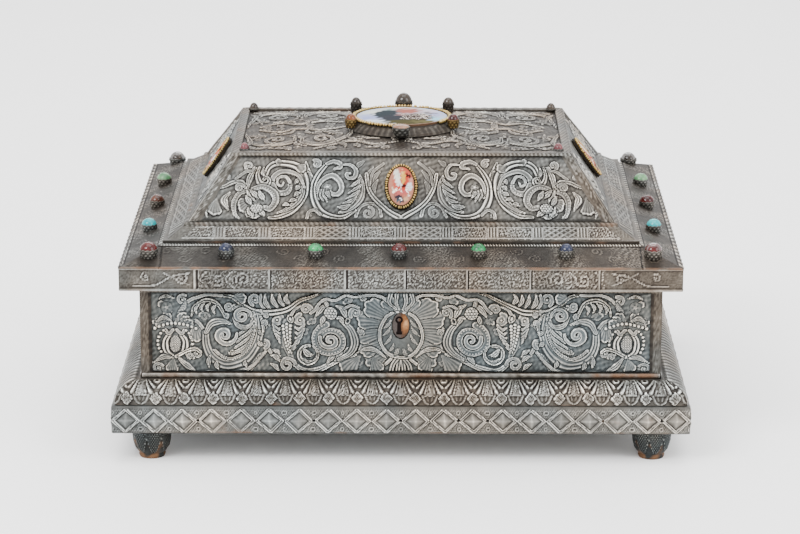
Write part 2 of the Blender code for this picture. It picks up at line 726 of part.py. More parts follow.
def stone(name, place, radius, height, finish):
    """A domed stone with a flat back."""
    bm = bmesh.new()
    rows = skin(bm, [oval(radius * share, radius * share, height * rise, 8)
                     for share, rise in ((1.0, 0.0), (0.72, 0.75))])
    cap = next(face for face in bm.faces if set(face.verts) == set(rows[-1]))
    peak = bmesh.ops.poke(bm, faces=[cap])["verts"][0]
    peak.co.z = height
    add_object(name, bm, CASKET, finish, place)


def build_rim():
    """The lid's rim board, with the settings of its stones, and the stones."""
    bm = bmesh.new()
    inner = (RIM_WIDTH - 2 * RIM_SLOPE_RUN, RIM_DEPTH - 2 * RIM_SLOPE_RUN)
    opening = (OPENING_WIDTH, OPENING_DEPTH)
    skin(bm, [
        rectangle(RIM_WIDTH, RIM_DEPTH, RIM_BOTTOM, RIM_CORNER),
        rectangle(RIM_WIDTH, RIM_DEPTH, RIM_EDGE_TOP, RIM_CORNER),
        rectangle(*inner, RIM_TOP, RIM_CORNER),
        rectangle(*opening, RIM_TOP, RIM_CORNER),
        rectangle(*opening, RIM_BOTTOM, RIM_CORNER),
    ], ring=True)
    board = add_object("rim_board", bm, CASKET, "silver")
    level = slope_level(ROW_INSET) + COLLET_RISE
    set_stones(board, rim_spots(), level, COLLET_RISE + RIM_SLOPE_RISE / 2)


def build_lid_moulding():
    """A plate, a sloping band and a bead, in one frame that carries the hipped shell."""
    insets = (
        (RIM_SLOPE_RUN, STEP_BOTTOM),
        (RIM_SLOPE_RUN, BAND_BOTTOM),
        (RIM_SLOPE_RUN + STEP_TREAD, BAND_BOTTOM),
        (RIM_SLOPE_RUN + STEP_TREAD + BAND_RUN, BAND_TOP - BEAD_RADIUS),
        (RIM_SLOPE_RUN + STEP_TREAD + BAND_RUN - BEAD_RADIUS / 2, BAND_TOP),
        (RIM_SLOPE_RUN + STEP_TREAD + BAND_RUN + BEAD_RADIUS, MOULDING_TOP),
    )
    loops = [rectangle(RIM_WIDTH - 2 * inset, RIM_DEPTH - 2 * inset, level) for inset, level in insets]
    loops.append(rectangle(OPENING_WIDTH, OPENING_DEPTH, MOULDING_TOP))
    loops.append(rectangle(OPENING_WIDTH, OPENING_DEPTH, STEP_BOTTOM))
    bm = bmesh.new()
    skin(bm, loops, ring=True)
    add_object("lid_moulding", bm, CASKET, "silver")


def slope_field(side):
    """Bottom width, top width and height of the sunk field in one slope of the lid."""
    base = (SHELL_WIDTH, SHELL_DEPTH)[side % 2]
    taper = 2 * HIP_RUN / SLOPE_LENGTH
    bottom = base - taper * HIP_RAIL - 2 * HIP_RIB
    top = base - taper * (SLOPE_LENGTH - HIP_RAIL) - 2 * HIP_RIB
    return bottom, top, SLOPE_LENGTH - 2 * HIP_RAIL


def slope_place(side, out=0.0):
    """A matrix at the middle of one slope of the lid, moved out from its surface."""
    reach = (SHELL_DEPTH, SHELL_WIDTH)[side % 2] / 2 - HIP_RUN / 2
    place = facing(side, reach, SHELL_BOTTOM + HIP_RISE / 2, SLOPE_ANGLE)
    return place @ Matrix.Translation((0.0, 0.0, out))


def build_shell():
    """The hollow hipped shell, with a sunk field in each slope and in its top."""
    bm = bmesh.new()
    skin(bm, [rectangle(SHELL_WIDTH, SHELL_DEPTH, SHELL_BOTTOM),
              rectangle(TOP_WIDTH, TOP_DEPTH, SHELL_TOP)])
    shell = add_object("lid_shell", bm, CASKET, "silver")
    hollow = bmesh.new()
    grow = HIP_RUN / HIP_RISE
    ceiling = SHELL_TOP - SHELL_THICKNESS
    loops = []
    for level in (SHELL_BOTTOM - SHELL_THICKNESS, ceiling):
        inset = SHELL_THICKNESS + (level - SHELL_BOTTOM) * grow
        loops.append(rectangle(SHELL_WIDTH - 2 * inset, SHELL_DEPTH - 2 * inset, level))
    skin(hollow, loops)
    combine(shell, add_cutter("lid_hollow", hollow), "DIFFERENCE")
    for side in range(4):
        bottom, top, height = slope_field(side)
        pocket = bmesh.new()
        corners = [(-bottom / 2, -height / 2), (bottom / 2, -height / 2),
                   (top / 2, height / 2), (-top / 2, height / 2)]
        skin(pocket, [[(x, y, level) for x, y in corners] for level in (-POCKET_DEPTH, POCKET_DEPTH)])
        combine(shell, add_cutter(f"slope_field_{side}", pocket, slope_place(side)), "DIFFERENCE")
    width, depth = top_field()
    pocket = box_mesh((-width / 2, -depth / 2, SHELL_TOP - POCKET_DEPTH),
                      (width / 2, depth / 2, SHELL_TOP + POCKET_DEPTH))
    combine(shell, add_cutter("top_field", pocket), "DIFFERENCE")


def top_field():
    return TOP_WIDTH - 2 * TOP_RAIL_WIDTH, TOP_DEPTH - 2 * TOP_RAIL_WIDTH


def crown(x, y):
    """Height of the top sheet's gentle dome over its edge."""
    width, depth = top_field()
    return TOP_CROWN * max(0.0, 1 - (2 * x / width) ** 2) * max(0.0, 1 - (2 * y / depth) ** 2)


def build_lid_sheets():
    """The embossed sheets in the lid's slopes, and the one on its top, which is returned."""
    names = ("lid_front_sheet", "lid_right_sheet", "lid_back_sheet", "lid_left_sheet")
    for side in range(4):
        bottom, top, height = (size - 2 * GAP for size in slope_field(side))
        if side == 0:
            relief = lid_front_scrolls(bottom, height)
        else:
            relief = lid_plain_scrolls(bottom, height, 2 if side == 2 else 1)
        embossed_sheet(names[side], relief, (bottom, top, height), slope_place(side, -SHEET_SINK))
    width, depth = (size - 2 * GAP for size in top_field())
    place = Matrix.Translation((0.0, 0.0, SHELL_TOP - SHEET_SINK))
    relief = top_scrolls(width, depth)
    return embossed_sheet("top_sheet", relief, (width, width, depth), place, (6, 4), crown)


def medallion(name, place, enamel, margin, plate_height, dome, steps):
    """An oval mount with a raised rim, and the domed enamel that lies in it."""
    half_width, half_height = enamel
    seat = plate_height - ENAMEL_SEAT
    outline = ((margin, 0.0), (margin * 0.8, plate_height), (GAP, plate_height), (GAP, seat))
    bm = bmesh.new()
    skin(bm, [oval(half_width + out, half_height + out, level, steps) for out, level in outline])
    mount = add_object(name + "_mount", bm, CASKET, "gilt", place)
    picture = bmesh.new()
    base = seat + GAP
    levels = ((1.0, 0.0), (0.90, 0.5), (0.45, 1.0))
    skin(picture, [oval(half_width * share, half_height * share, base + dome * rise, steps)
                   for share, rise in levels])
    add_object(name + "_enamel", picture, CASKET, "enamel", place)
    return mount


def build_slope_medallions():
    """Small upright medallions on the front and the ends of the lid."""
    for side, name in ((0, "front"), (1, "right"), (3, "left")):
        place = slope_place(side, GAP - SHEET_SINK)
        medallion(name, place, SMALL_ENAMEL, SMALL_PLATE_MARGIN, SMALL_PLATE_HEIGHT,
                  SMALL_ENAMEL_CROWN, 10)


def set_stones(carrier, spots, level, sunk):
    """Collets joined to the piece that carries them, each with its own stone."""
    settings = bmesh.new()
    for name, x, y, radius, height, finish in spots:
        collet(settings, x, y, level, radius, sunk)
        stone(name, Matrix.Translation((x, y, level + GAP)), radius, height, finish)
    combine(carrier, add_cutter(carrier.name + "_settings", settings), "UNION")


def build_top_medallion(top_sheet):
    """The large medallion on the lid, with six stones set round it."""
    base = SHELL_TOP - SHEET_SINK + TOP_CROWN + GAP
    mount = medallion("top", Matrix.Translation((0.0, 0.0, base)), TOP_ENAMEL, TOP_PLATE_MARGIN,
                      TOP_PLATE_HEIGHT, TOP_ENAMEL_CROWN, 20)
    reach_x = TOP_ENAMEL[0] + TOP_PLATE_MARGIN
    reach_y = TOP_ENAMEL[1] + TOP_PLATE_MARGIN
    small = (TOP_STONE_RADIUS, TOP_STONE_HEIGHT)
    large = (LARGE_TOP_STONE_RADIUS, TOP_STONE_HEIGHT * LARGE_TOP_STONE_RADIUS / TOP_STONE_RADIUS)
    flat = (LARGE_TOP_STONE_RADIUS, TOP_STONE_HEIGHT / 2)
    on_mount = (
        ("stone_top_left", -0.94 * reach_x, -0.42 * reach_y, *small, "pale_stone"),
        ("stone_top_right", 0.95 * reach_x, -0.44 * reach_y, *small, "garnet"),
        ("stone_top_front", -0.01 * reach_x, -1.07 * reach_y, *flat, "pale_stone"),
    )
    set_stones(mount, on_mount, base + TOP_PLATE_HEIGHT + GAP, TOP_PLATE_HEIGHT)
    behind = reach_y + LARGE_TOP_STONE_RADIUS + 2 * COLLET_WALL
    on_sheet = (
        ("stone_top_back_left", -0.87 * reach_x, behind - LARGE_TOP_STONE_RADIUS / 2, *small, "smoky"),
        ("stone_top_back", 0.03 * reach_x, behind + COLLET_WALL, *large, "smoky"),
        ("stone_top_back_right", 0.87 * reach_x, behind - LARGE_TOP_STONE_RADIUS / 2, *small, "smoky"),
    )
    set_stones(top_sheet, on_sheet, SHELL_TOP + BACK_STONE_RISE, BACK_STONE_RISE + SHEET_SINK)


def build_studs():
    """Four small domed studs at the corners of the lid's top."""
    for across, side_name in ((-1, "left"), (1, "right")):
        for along, end_name, finish in ((-1, "front", "pale_stone"), (1, "back", "silver")):
            x = across * (TOP_WIDTH / 2 - STUD_INSET_X)
            y = along * (TOP_DEPTH / 2 - (STUD_INSET_FRONT if along < 0 else STUD_INSET_BACK))
            level = SHELL_TOP + GAP
            place = Matrix.Translation((x, y, level))
            stone(f"stud_{end_name}_{side_name}", place, STUD_RADIUS, STUD_RADIUS * 1.4, finish)


clear_scene()
CASKET = new_collection("reliquary_casket")
CUTTERS = new_collection("cutters")
build_feet()
build_plinth()
build_leaf_moulding()
build_walls()
build_lock()
build_box_sheets()
build_rim()
build_lid_moulding()
build_shell()
lid_top = build_lid_sheets()
build_slope_medallions()
build_top_medallion(lid_top)
build_studs()
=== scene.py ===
# %% [markdown]
# A reliquary casket clad in chased silver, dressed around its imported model.
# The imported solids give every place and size. Each one is stood in for here by a finer mesh
# that keeps its form and carries the hammered, chased and punched work of a silversmith.
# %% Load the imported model
import math

import bmesh
import bpy
import numpy as np
from mathutils import Matrix, Vector


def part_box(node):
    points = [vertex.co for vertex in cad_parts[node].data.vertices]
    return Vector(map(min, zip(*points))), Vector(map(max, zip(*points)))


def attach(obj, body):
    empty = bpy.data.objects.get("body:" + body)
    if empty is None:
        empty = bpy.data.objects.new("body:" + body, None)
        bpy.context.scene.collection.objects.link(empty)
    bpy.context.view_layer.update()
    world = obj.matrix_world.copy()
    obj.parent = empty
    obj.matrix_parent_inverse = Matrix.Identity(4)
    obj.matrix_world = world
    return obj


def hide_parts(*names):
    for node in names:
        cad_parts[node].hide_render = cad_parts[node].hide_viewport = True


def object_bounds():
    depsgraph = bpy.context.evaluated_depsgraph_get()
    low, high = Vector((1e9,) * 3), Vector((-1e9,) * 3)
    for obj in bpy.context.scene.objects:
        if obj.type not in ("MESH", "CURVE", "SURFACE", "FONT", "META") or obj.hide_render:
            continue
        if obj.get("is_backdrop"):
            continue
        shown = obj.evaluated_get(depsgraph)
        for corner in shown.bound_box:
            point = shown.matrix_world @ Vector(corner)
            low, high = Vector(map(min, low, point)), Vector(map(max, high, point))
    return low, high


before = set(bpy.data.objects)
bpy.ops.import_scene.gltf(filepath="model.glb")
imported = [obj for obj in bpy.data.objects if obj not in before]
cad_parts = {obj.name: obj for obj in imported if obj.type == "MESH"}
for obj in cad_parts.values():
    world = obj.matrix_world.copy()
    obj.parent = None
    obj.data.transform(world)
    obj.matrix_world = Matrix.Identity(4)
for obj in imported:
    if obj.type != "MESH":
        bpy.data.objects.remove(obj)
packed_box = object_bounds()
MM = 0.001
print("packed solids:", len(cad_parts))

# %% [markdown]
# The photograph was taken from a little above, square on to the front, with a long lens.
# A long lens keeps the far edge of the lid nearly as wide as the near one.
# %% Camera
CAMERA_PLACE = (0.00845, -1.5528, 0.5279)
CAMERA_TILT = math.radians(73.68)
CAMERA_TURN = math.radians(0.35)
LENS_MM = 133.2

lens = bpy.data.cameras.new("camera")
lens.lens = LENS_MM
lens.sensor_width = 36.0
lens.sensor_fit = "HORIZONTAL"
camera = bpy.data.objects.new("camera", lens)
camera.location = CAMERA_PLACE
camera.rotation_euler = (CAMERA_TILT, 0.0, CAMERA_TURN)
bpy.context.scene.collection.objects.link(camera)
bpy.context.scene.camera = camera
print("camera distance:", round(Vector(CAMERA_PLACE).length, 3))

# %% [markdown]
# A museum piece like this is lit by large soft boxes in a white room.
# The white world does most of the work, and three area lights give the metal its bright crests.
# %% Light and floor
def soft_box(name, place, aim, size, power):
    light = bpy.data.lights.new(name, "AREA")
    light.shape = "RECTANGLE"
    light.size = size[0]
    light.size_y = size[1]
    light.energy = power
    box = bpy.data.objects.new(name, light)
    box.location = place
    box.rotation_euler = (Vector(aim) - Vector(place)).to_track_quat("-Z", "Y").to_euler()
    bpy.context.scene.collection.objects.link(box)
    return box


def studio():
    world = bpy.data.worlds.new("white_room")
    world.use_nodes = True
    world.node_tree.nodes["Background"].inputs["Color"].default_value = (1.0, 1.0, 1.0, 1.0)
    world.node_tree.nodes["Background"].inputs["Strength"].default_value = 1.95
    bpy.context.scene.world = world
    return [
        soft_box("key", (-0.9, -1.0, 1.3), (0.0, 0.0, 0.08), (0.8, 0.6), 27.0),
        soft_box("fill", (1.1, -0.8, 0.9), (0.0, 0.0, 0.08), (0.8, 0.8), 12.0),
        soft_box("back", (0.1, 1.2, 1.2), (0.0, 0.0, 0.10), (1.2, 0.6), 12.0),
        soft_box("above", (0.0, -0.1, 1.6), (0.0, 0.0, 0.10), (1.3, 1.0), 16.0),
    ]


def floor_sheet():
    bm = bmesh.new()
    bmesh.ops.create_grid(bm, x_segments=1, y_segments=1, size=6.0)
    mesh = bpy.data.meshes.new("floor")
    bm.to_mesh(mesh)
    bm.free()
    floor = bpy.data.objects.new("floor", mesh)
    bpy.context.scene.collection.objects.link(floor)
    paper = bpy.data.materials.new("white_paper")
    paper.use_nodes = True
    shader = paper.node_tree.nodes["Principled BSDF"]
    shader.inputs["Base Color"].default_value = (0.98, 0.98, 0.98, 1.0)
    shader.inputs["Roughness"].default_value = 0.9
    shader.inputs["Specular IOR Level"].default_value = 0.1
    mesh.materials.append(paper)
    floor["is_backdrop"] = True
    return floor


lamps = studio()
floor = floor_sheet()
print("lamps:", len(lamps))

# %% [markdown]
# Old silver has three tones. Where the chased work stands out, handling keeps it bright and
# warm, and a painted highlight is laid on its sharpest crests. The ground behind it keeps a
# blue-grey tarnish, and the deepest lines are nearly black, partly tarnish and partly painted
# shade. Where the silver has worn through, copper shows. The mesh says how far each point stands
# out ("raised"), how sharply it does so ("crest"), how much copper shows ("copper") and how
# much darker the metal is made there, by tarnish and by painted shade at edges and feet.
# %% Aged silver
def node(tree, kind, **values):
    made = tree.nodes.new(kind)
    for name, value in values.items():
        setattr(made, name, value)
    return made


def value_of(tree, name):
    return node(tree, "ShaderNodeAttribute", attribute_name=name, attribute_type="GEOMETRY").outputs["Fac"]


def sum_of(tree, parts, clamp=True):
    """Adds sockets, each times its own weight, to a starting number."""
    start, *terms = parts
    total = start
    for socket, weight in terms:
        step = node(tree, "ShaderNodeMath", operation="MULTIPLY_ADD", use_clamp=False)
        tree.links.new(socket, step.inputs[0])
        step.inputs[1].default_value = weight
        if isinstance(total, float):
            step.inputs[2].default_value = total
        else:
            tree.links.new(total, step.inputs[2])
        total = step.outputs[0]
    if clamp:
        step.use_clamp = True
    return total


def ramp_of(tree, factor, stops):
    ramp = node(tree, "ShaderNodeValToRGB")
    ramp.color_ramp.interpolation = "LINEAR"
    places = ramp.color_ramp.elements
    while len(places) < len(stops):
        places.new(0.5)
    for place, (at, colour) in zip(places, stops):
        place.position = at
        place.color = (*colour, 1.0)
    tree.links.new(factor, ramp.inputs[0])
    return ramp.outputs[0]


def blend_colour(tree, factor, first, second):
    mix = node(tree, "ShaderNodeMix", data_type="RGBA")
    tree.links.new(factor, mix.inputs[0])
    for socket, colour in ((mix.inputs[6], first), (mix.inputs[7], second)):
        if isinstance(colour, tuple):
            socket.default_value = (*colour, 1.0)
        else:
            tree.links.new(colour, socket)
    return mix.outputs[2]


def noise_of(tree, place, scale, detail=3.0):
    noise = node(tree, "ShaderNodeTexNoise")
    noise.inputs["Scale"].default_value = scale
    noise.inputs["Detail"].default_value = detail
    tree.links.new(place, noise.inputs["Vector"])
    return noise.outputs["Fac"]


def threshold(tree, socket, low, high):
    span = node(tree, "ShaderNodeMapRange")
    span.inputs["From Min"].default_value = low
    span.inputs["From Max"].default_value = high
    tree.links.new(socket, span.inputs["Value"])
    return span.outputs["Result"]


# Each palette runs from darkest to brightest: the dark end gives tarnish and painted shade in hollows, the bright end
# polish and painted highlight on crests.
SLATE = ((0.007, 0.007, 0.006), (0.034, 0.039, 0.040), (0.100, 0.110, 0.110), (0.27, 0.265, 0.25), (0.78, 0.75, 0.68))
BROWN = ((0.008, 0.006, 0.005), (0.040, 0.033, 0.027), (0.112, 0.100, 0.085), (0.27, 0.250, 0.225), (0.76, 0.72, 0.64))
GREY = ((0.007, 0.006, 0.006), (0.043, 0.041, 0.037), (0.120, 0.116, 0.107), (0.27, 0.262, 0.243), (0.74, 0.71, 0.65))
UMBER = ((0.008, 0.006, 0.005), (0.036, 0.029, 0.023), (0.098, 0.084, 0.070), (0.225, 0.200, 0.172), (0.60, 0.545, 0.47))
COPPER_TONE = (0.17, 0.094, 0.056)


def aged_silver(name, tones, level=0.42, contrast=1.0, wear=0.0, grain=0.35, copper_tone=COPPER_TONE):
    """Tarnished silver whose tone follows the chased work of the mesh that wears it, adding painted shade in hollows
    and painted highlight on crests.
    """
    material = bpy.data.materials.new(name)
    material.use_nodes = True
    tree = material.node_tree
    shader = tree.nodes["Principled BSDF"]
    place = node(tree, "ShaderNodeTexCoord").outputs["Object"]
    cloud = noise_of(tree, place, 38.0, 4.0)
    mottle = noise_of(tree, place, 170.0, 3.0)
    speck = noise_of(tree, place, 620.0, 2.0)
    # The tone rises with crest and height and falls with darkening: painted highlight on crests and painted shade in
    # hollows, on top of real polish and tarnish.
    tone = sum_of(tree, (level - 0.5 * contrast - 0.27 - 0.5 * grain * 0.6, (value_of(tree, "crest"), contrast),
                         (value_of(tree, "raised"), 0.20), (value_of(tree, "tarnish_and_shade"), -0.30), (cloud, 0.30),
                         (mottle, 0.24), (speck, grain * 0.6)))
    stops = tuple(zip((0.0, 0.26, 0.46, 0.66, 0.95), tones))
    silver = ramp_of(tree, tone, stops)
    drift = threshold(tree, noise_of(tree, place, 24.0, 3.0), 0.40, 0.60)
    tint = node(tree, "ShaderNodeMix", data_type="RGBA", blend_type="MULTIPLY")
    tint.inputs[0].default_value = 1.0
    tree.links.new(silver, tint.inputs[6])
    tree.links.new(blend_colour(tree, drift, (0.76, 0.83, 0.88), (0.93, 0.86, 0.785)), tint.inputs[7])
    colour = tint.outputs[2]
    patch = noise_of(tree, place, 95.0, 5.0)
    copper = sum_of(tree, (wear - 0.72, (patch, 1.1), (value_of(tree, "copper"), 0.85)))
    shown = threshold(tree, copper, 0.10, 0.42)
    # Bare copper follows the same tone, so it too gets painted shade in hollows and painted highlight on crests.
    worn = sum_of(tree, (0.35, (tone, 1.1)))
    bare = blend_colour(tree, worn, (0.030, 0.018, 0.012), copper_tone)
    tree.links.new(blend_colour(tree, shown, colour, bare), shader.inputs["Base Color"])
    rough = node(tree, "ShaderNodeMapRange")
    rough.inputs["To Min"].default_value = 0.62
    rough.inputs["To Max"].default_value = 0.34
    tree.links.new(tone, rough.inputs["Value"])
    tree.links.new(rough.outputs["Result"], shader.inputs["Roughness"])
    shader.inputs["Metallic"].default_value = 0.78
    bump = node(tree, "ShaderNodeBump")
    bump.inputs["Strength"].default_value = grain
    bump.inputs["Distance"].default_value = 0.0004
    tree.links.new(noise_of(tree, place, 900.0, 2.0), bump.inputs["Height"])
    tree.links.new(bump.outputs["Normal"], shader.inputs["Normal"])
    return material


print("tones of silver:", len(SLATE))

# %% [markdown]
# Chasing is drawn work: a line is hammered up from behind and its edge is set down from the
# front, so one line seems to pass over another. The bench below keeps a height for every point
# of a sheet, in millimetres. A stroke raises a band along a path and presses a thin trench
# beside it, and a punch raises one rounded shape.
# %% The chasing bench
FINENESS = 0.84


class Bench:
    """Heights over a sheet. u runs across from its middle and v up from its middle or foot."""

    def __init__(self, u, v, half, side):
        self.u = u
        self.v = v
        self.half = half
        self.side = side
        self.height = np.zeros_like(u)
        self.copper = np.zeros_like(u)
        # How much darker a point is made, by tarnish and by painted shade.
        self.tarnish_and_shade = np.zeros_like(u)
        self.sink = np.zeros_like(u)
        self.grid = 0.0

    def near(self, low, high):
        return np.flatnonzero((self.u > low[0]) & (self.u < high[0]) & (self.v > low[1]) & (self.v < high[1]))

    def press(self, spots, cover, rise, q, skirt):
        """Raises what lies inside a shape, keeps a hint of what it covers and sets its edge down."""
        old = self.height[spots]
        inside = q < 1
        trench = np.clip((q - 1) / skirt, 0, 1) ** 0.7
        self.height[spots] = np.where(inside, np.maximum(rise, old * cover), old * trench - 0.12 * (1 - trench))

    def stroke(self, path, width, rise=1.0, form="round", taper=(1.0, 1.0), pitch=1.7, cover=0.3):
        """A raised band along a path of points. taper gives its width at even steps along it."""
        path = np.asarray(path, float)
        width = max(width * FINENESS, 1.1 * self.grid)
        form = "round" if self.grid else form
        start, step = path[:-1], path[1:] - path[:-1]
        length = np.maximum(np.hypot(*step.T), 1e-6)
        run = np.concatenate(([0.0], np.cumsum(length)))
        share = run / run[-1]
        widths = width * np.interp(share, np.linspace(0, 1, len(taper)), taper)
        skirt = 0.45
        reach = widths.max() * (1 + skirt)
        spots = self.near(path.min(0) - reach, path.max(0) + reach)
        if not len(spots):
            return
        point = np.stack((self.u[spots], self.v[spots]), 1)
        away = point[:, None, :] - start[None]
        t = np.clip((away * step).sum(2) / length ** 2, 0, 1)
        gap = away - t[..., None] * step
        wide = widths[:-1] + t * (widths[1:] - widths[:-1])
        q = np.hypot(gap[..., 0], gap[..., 1]) / wide
        best = q.argmin(1)
        rows = np.arange(len(spots))
        q = q[rows, best]
        keep = q < 1 + skirt
        spots, rows, best, q = spots[keep], rows[keep], best[keep], q[keep]
        along = run[best] + t[rows, best] * length[best]
        flow = step[best]
        side = np.sign(flow[:, 0] * away[rows, best, 1] - flow[:, 1] * away[rows, best, 0])
        self.press(spots, cover, rise * FORMS[form](np.minimum(q, 1), side, along / pitch), q, skirt)

    def fan(self, hinge, tip, spread, lines, rise=0.6, scallop=0.06):
        """A leaf lobe spread from its hinge, with fine lines and a raised wavy edge."""
        hinge, tip = np.asarray(hinge, float), np.asarray(tip, float)
        length = np.hypot(*(tip - hinge))
        lines = 2.4 if self.grid else lines
        spots = self.near(hinge - 1.3 * length, hinge + 1.3 * length)
        x, y = self.u[spots] - hinge[0], self.v[spots] - hinge[1]
        lean = np.arctan2(y, x) - math.atan2(tip[1] - hinge[1], tip[0] - hinge[0])
        lean = np.mod(lean + np.pi, 2 * np.pi) - np.pi
        share = lean / math.radians(spread)
        reach = length * (1 - 0.22 * share ** 2 + scallop * np.abs(np.cos(share * 4.7)))
        far = np.hypot(x, y) / reach
        keep = (np.abs(share) < 1.3) & (far < 1.25)
        spots, share, far, reach = spots[keep], share[keep], far[keep], reach[keep]
        ribs = wave(share * lines / 2 + 0.6 * far)
        edge = np.exp(-(((1 - far) * reach - 0.55) / 0.42) ** 2)
        body = rise * (0.34 + 0.34 * ribs * np.clip(far * 1.5, 0, 1) + 0.20 * far) + 0.42 * edge
        self.press(spots, 0.5, body, np.maximum(np.abs(share), far), 0.15)

    def punch(self, place, radii, rise=1.0, form="dome", turn=0.0, pitch=1.3, cover=0.3):
        """One raised oval, plain or with a texture."""
        reach = max(radii) * 1.35
        place = np.asarray(place, float)
        spots = self.near(place - reach, place + reach)
        if not len(spots):
            return
        x, y = self.u[spots] - place[0], self.v[spots] - place[1]
        c, s = math.cos(turn), math.sin(turn)
        x, y = x * c + y * s, y * c - x * s
        q = np.hypot(x / radii[0], y / radii[1])
        self.press(spots, cover, rise * PUNCHES[form](q, x, y, pitch), q, 0.25)


def swell(q):
    return np.sqrt(np.clip(1 - q * q, 0, 1))


def plateau(q):
    return np.clip((1 - q) * 3.2, 0, 1) ** 0.6


def wave(x):
    return 0.5 + 0.5 * np.cos(2 * np.pi * x)


FORMS = {
    "round": lambda q, side, along: 0.60 * swell(q) + 0.42 * np.exp(-((q - 0.70) / 0.20) ** 2),
    "flat": lambda q, side, along: plateau(q),
    "grooved": lambda q, side, along: plateau(q) * (1 - 0.75 * np.exp(-(q / 0.28) ** 2)),
    "veined": lambda q, side, along: plateau(q) * (0.42 + 0.58 * wave(q * side * 1.55 + 0.1)),
    "ridged": lambda q, side, along: 0.45 * plateau(q) + 0.55 * np.clip(1 - q / 0.45, 0, 1),
    "rope": lambda q, side, along: swell(q) * (0.55 + 0.45 * wave(along + side * q * 0.5)),
    "beaded": lambda q, side, along: np.maximum(
        0.45 * plateau(q) + 0.45 * np.exp(-((q - 0.80) / 0.15) ** 2),
        0.85 * swell(np.clip(np.hypot((q * side - 0.25) / 0.34, (np.mod(along, 1) - 0.5) * 2.6), 0, 1))),
    "fringed": lambda q, side, along: np.where(
        side > 0, plateau(q) * (0.35 + 0.65 * wave(along - 0.9 * q)),
        np.maximum(swell(q) * 0.9, 0.0)),
    "fringed_in": lambda q, side, along: np.where(
        side < 0, plateau(q) * (0.35 + 0.65 * wave(along - 0.9 * q)), swell(q) * 0.9),
    "feather": lambda q, side, along: np.maximum(
        plateau(q) * (0.35 + 0.6 * wave(along - 1.1 * q)), np.clip(1 - q / 0.16, 0, 1)),
}


def lattice(x, y, pitch):
    """Distance to the nearest point of a staggered lattice, as a share of half its pitch."""
    row = np.round(y / (pitch * 0.87))
    shift = np.mod(row, 2) * 0.5 * pitch
    column = np.round((x - shift) / pitch)
    return np.hypot(x - shift - column * pitch, y - row * pitch * 0.87) / (0.5 * pitch)


def petals(q, x, y, count):
    around = 0.5 + 0.5 * np.cos(np.arctan2(y, x) * count)
    return np.where(q < 0.3, 1.0, 0.35 + 0.55 * around * np.clip(1.2 - q, 0, 1))


PUNCHES = {
    "dome": lambda q, x, y, p: swell(q),
    "ring": lambda q, x, y, p: np.maximum(np.exp(-((q - 0.72) / 0.2) ** 2), 0.1),
    "berries": lambda q, x, y, p: (0.35 + 0.65 * swell(lattice(x, y, p))) * swell(q * 0.93) ** 0.5,
    "rose": lambda q, x, y, p: petals(q, x, y, 5.0) * swell(q * 0.9),
    "hatched": lambda q, x, y, p: (0.35 + 0.6 * np.maximum(wave((x + y) / p), wave((x - y) / p)) ** 3) * swell(q * 0.9),
    "leaf": lambda q, x, y, p: (0.35 + 0.65 * wave((np.abs(y) * 1.1 - x) / p)) * swell(q * 0.9),
    "shell": lambda q, x, y, p: (0.35 + 0.65 * wave(np.arctan2(y, x) * 1.3)) * plateau(q),
}
print("stroke forms:", len(FORMS), "punches:", len(PUNCHES))

# %% [markdown]
# Two kinds of line draw nearly all the ornament: a smooth line through a few places, and a
# spiral that winds in to an eye. Everything else is built up from these and from punches.
# %% Lines to draw with
def curve(*knots, steps=6):
    """A smooth line through a few places."""
    knots = np.asarray(knots, float)
    ends = np.vstack((2 * knots[0] - knots[1], knots, 2 * knots[-1] - knots[-2]))
    t = np.linspace(0, 1, steps, endpoint=False)[:, None]
    parts = []
    for a, b, c, d in zip(ends, ends[1:], ends[2:], ends[3:]):
        parts.append(0.5 * (2 * b + (c - a) * t + (2 * a - 5 * b + 4 * c - d) * t ** 2
                            + (3 * b - a - 3 * c + d) * t ** 3))
    return np.vstack((*parts, knots[-1:]))


def spiral(centre, outer, inner, start, turns, spin=1, squeeze=1.0):
    """A line that winds in from an outer radius. spin 1 goes anticlockwise, -1 clockwise."""
    t = np.linspace(0, 1, max(10, int(18 * turns)))
    angle = math.radians(start) + spin * 2 * math.pi * turns * t
    reach = outer * (inner / outer) ** t
    return np.stack((centre[0] + reach * np.cos(angle), centre[1] + reach * squeeze * np.sin(angle)), 1)


def curl(bench, centre, size, start, spin, width=0.9, rise=0.9, form="round"):
    """A small closed scroll with a dot in its eye."""
    bench.stroke(spiral(centre, size, size * 0.30, start, 1.15, spin), width, rise, form, (1.1, 0.8))
    bench.punch(centre, (size * 0.26, size * 0.26), rise * 0.9)


def ripple(u, v, seed, pitch, waves=7):
    """A field of wandering lines all about one pitch apart."""
    chance = np.random.default_rng(seed)
    angle = chance.uniform(0, 2 * math.pi, waves)
    phase = chance.uniform(0, 2 * math.pi, waves)
    reach = 2 * math.pi / (pitch * chance.uniform(0.85, 1.2, waves))
    field = sum(np.cos(k * (u * math.cos(a) + v * math.sin(a)) + p) for k, a, p in zip(reach, angle, phase))
    return field / math.sqrt(waves)


def hand(u, v, seed, size=0.35):
    """How far a hand-worked line strays, so that nothing repeats exactly."""
    return size * ripple(u, v, seed, 17.0), size * ripple(u, v, seed + 50, 13.0)


print("points in a two-turn spiral:", len(spiral((0, 0), 10, 2, 0, 2)))

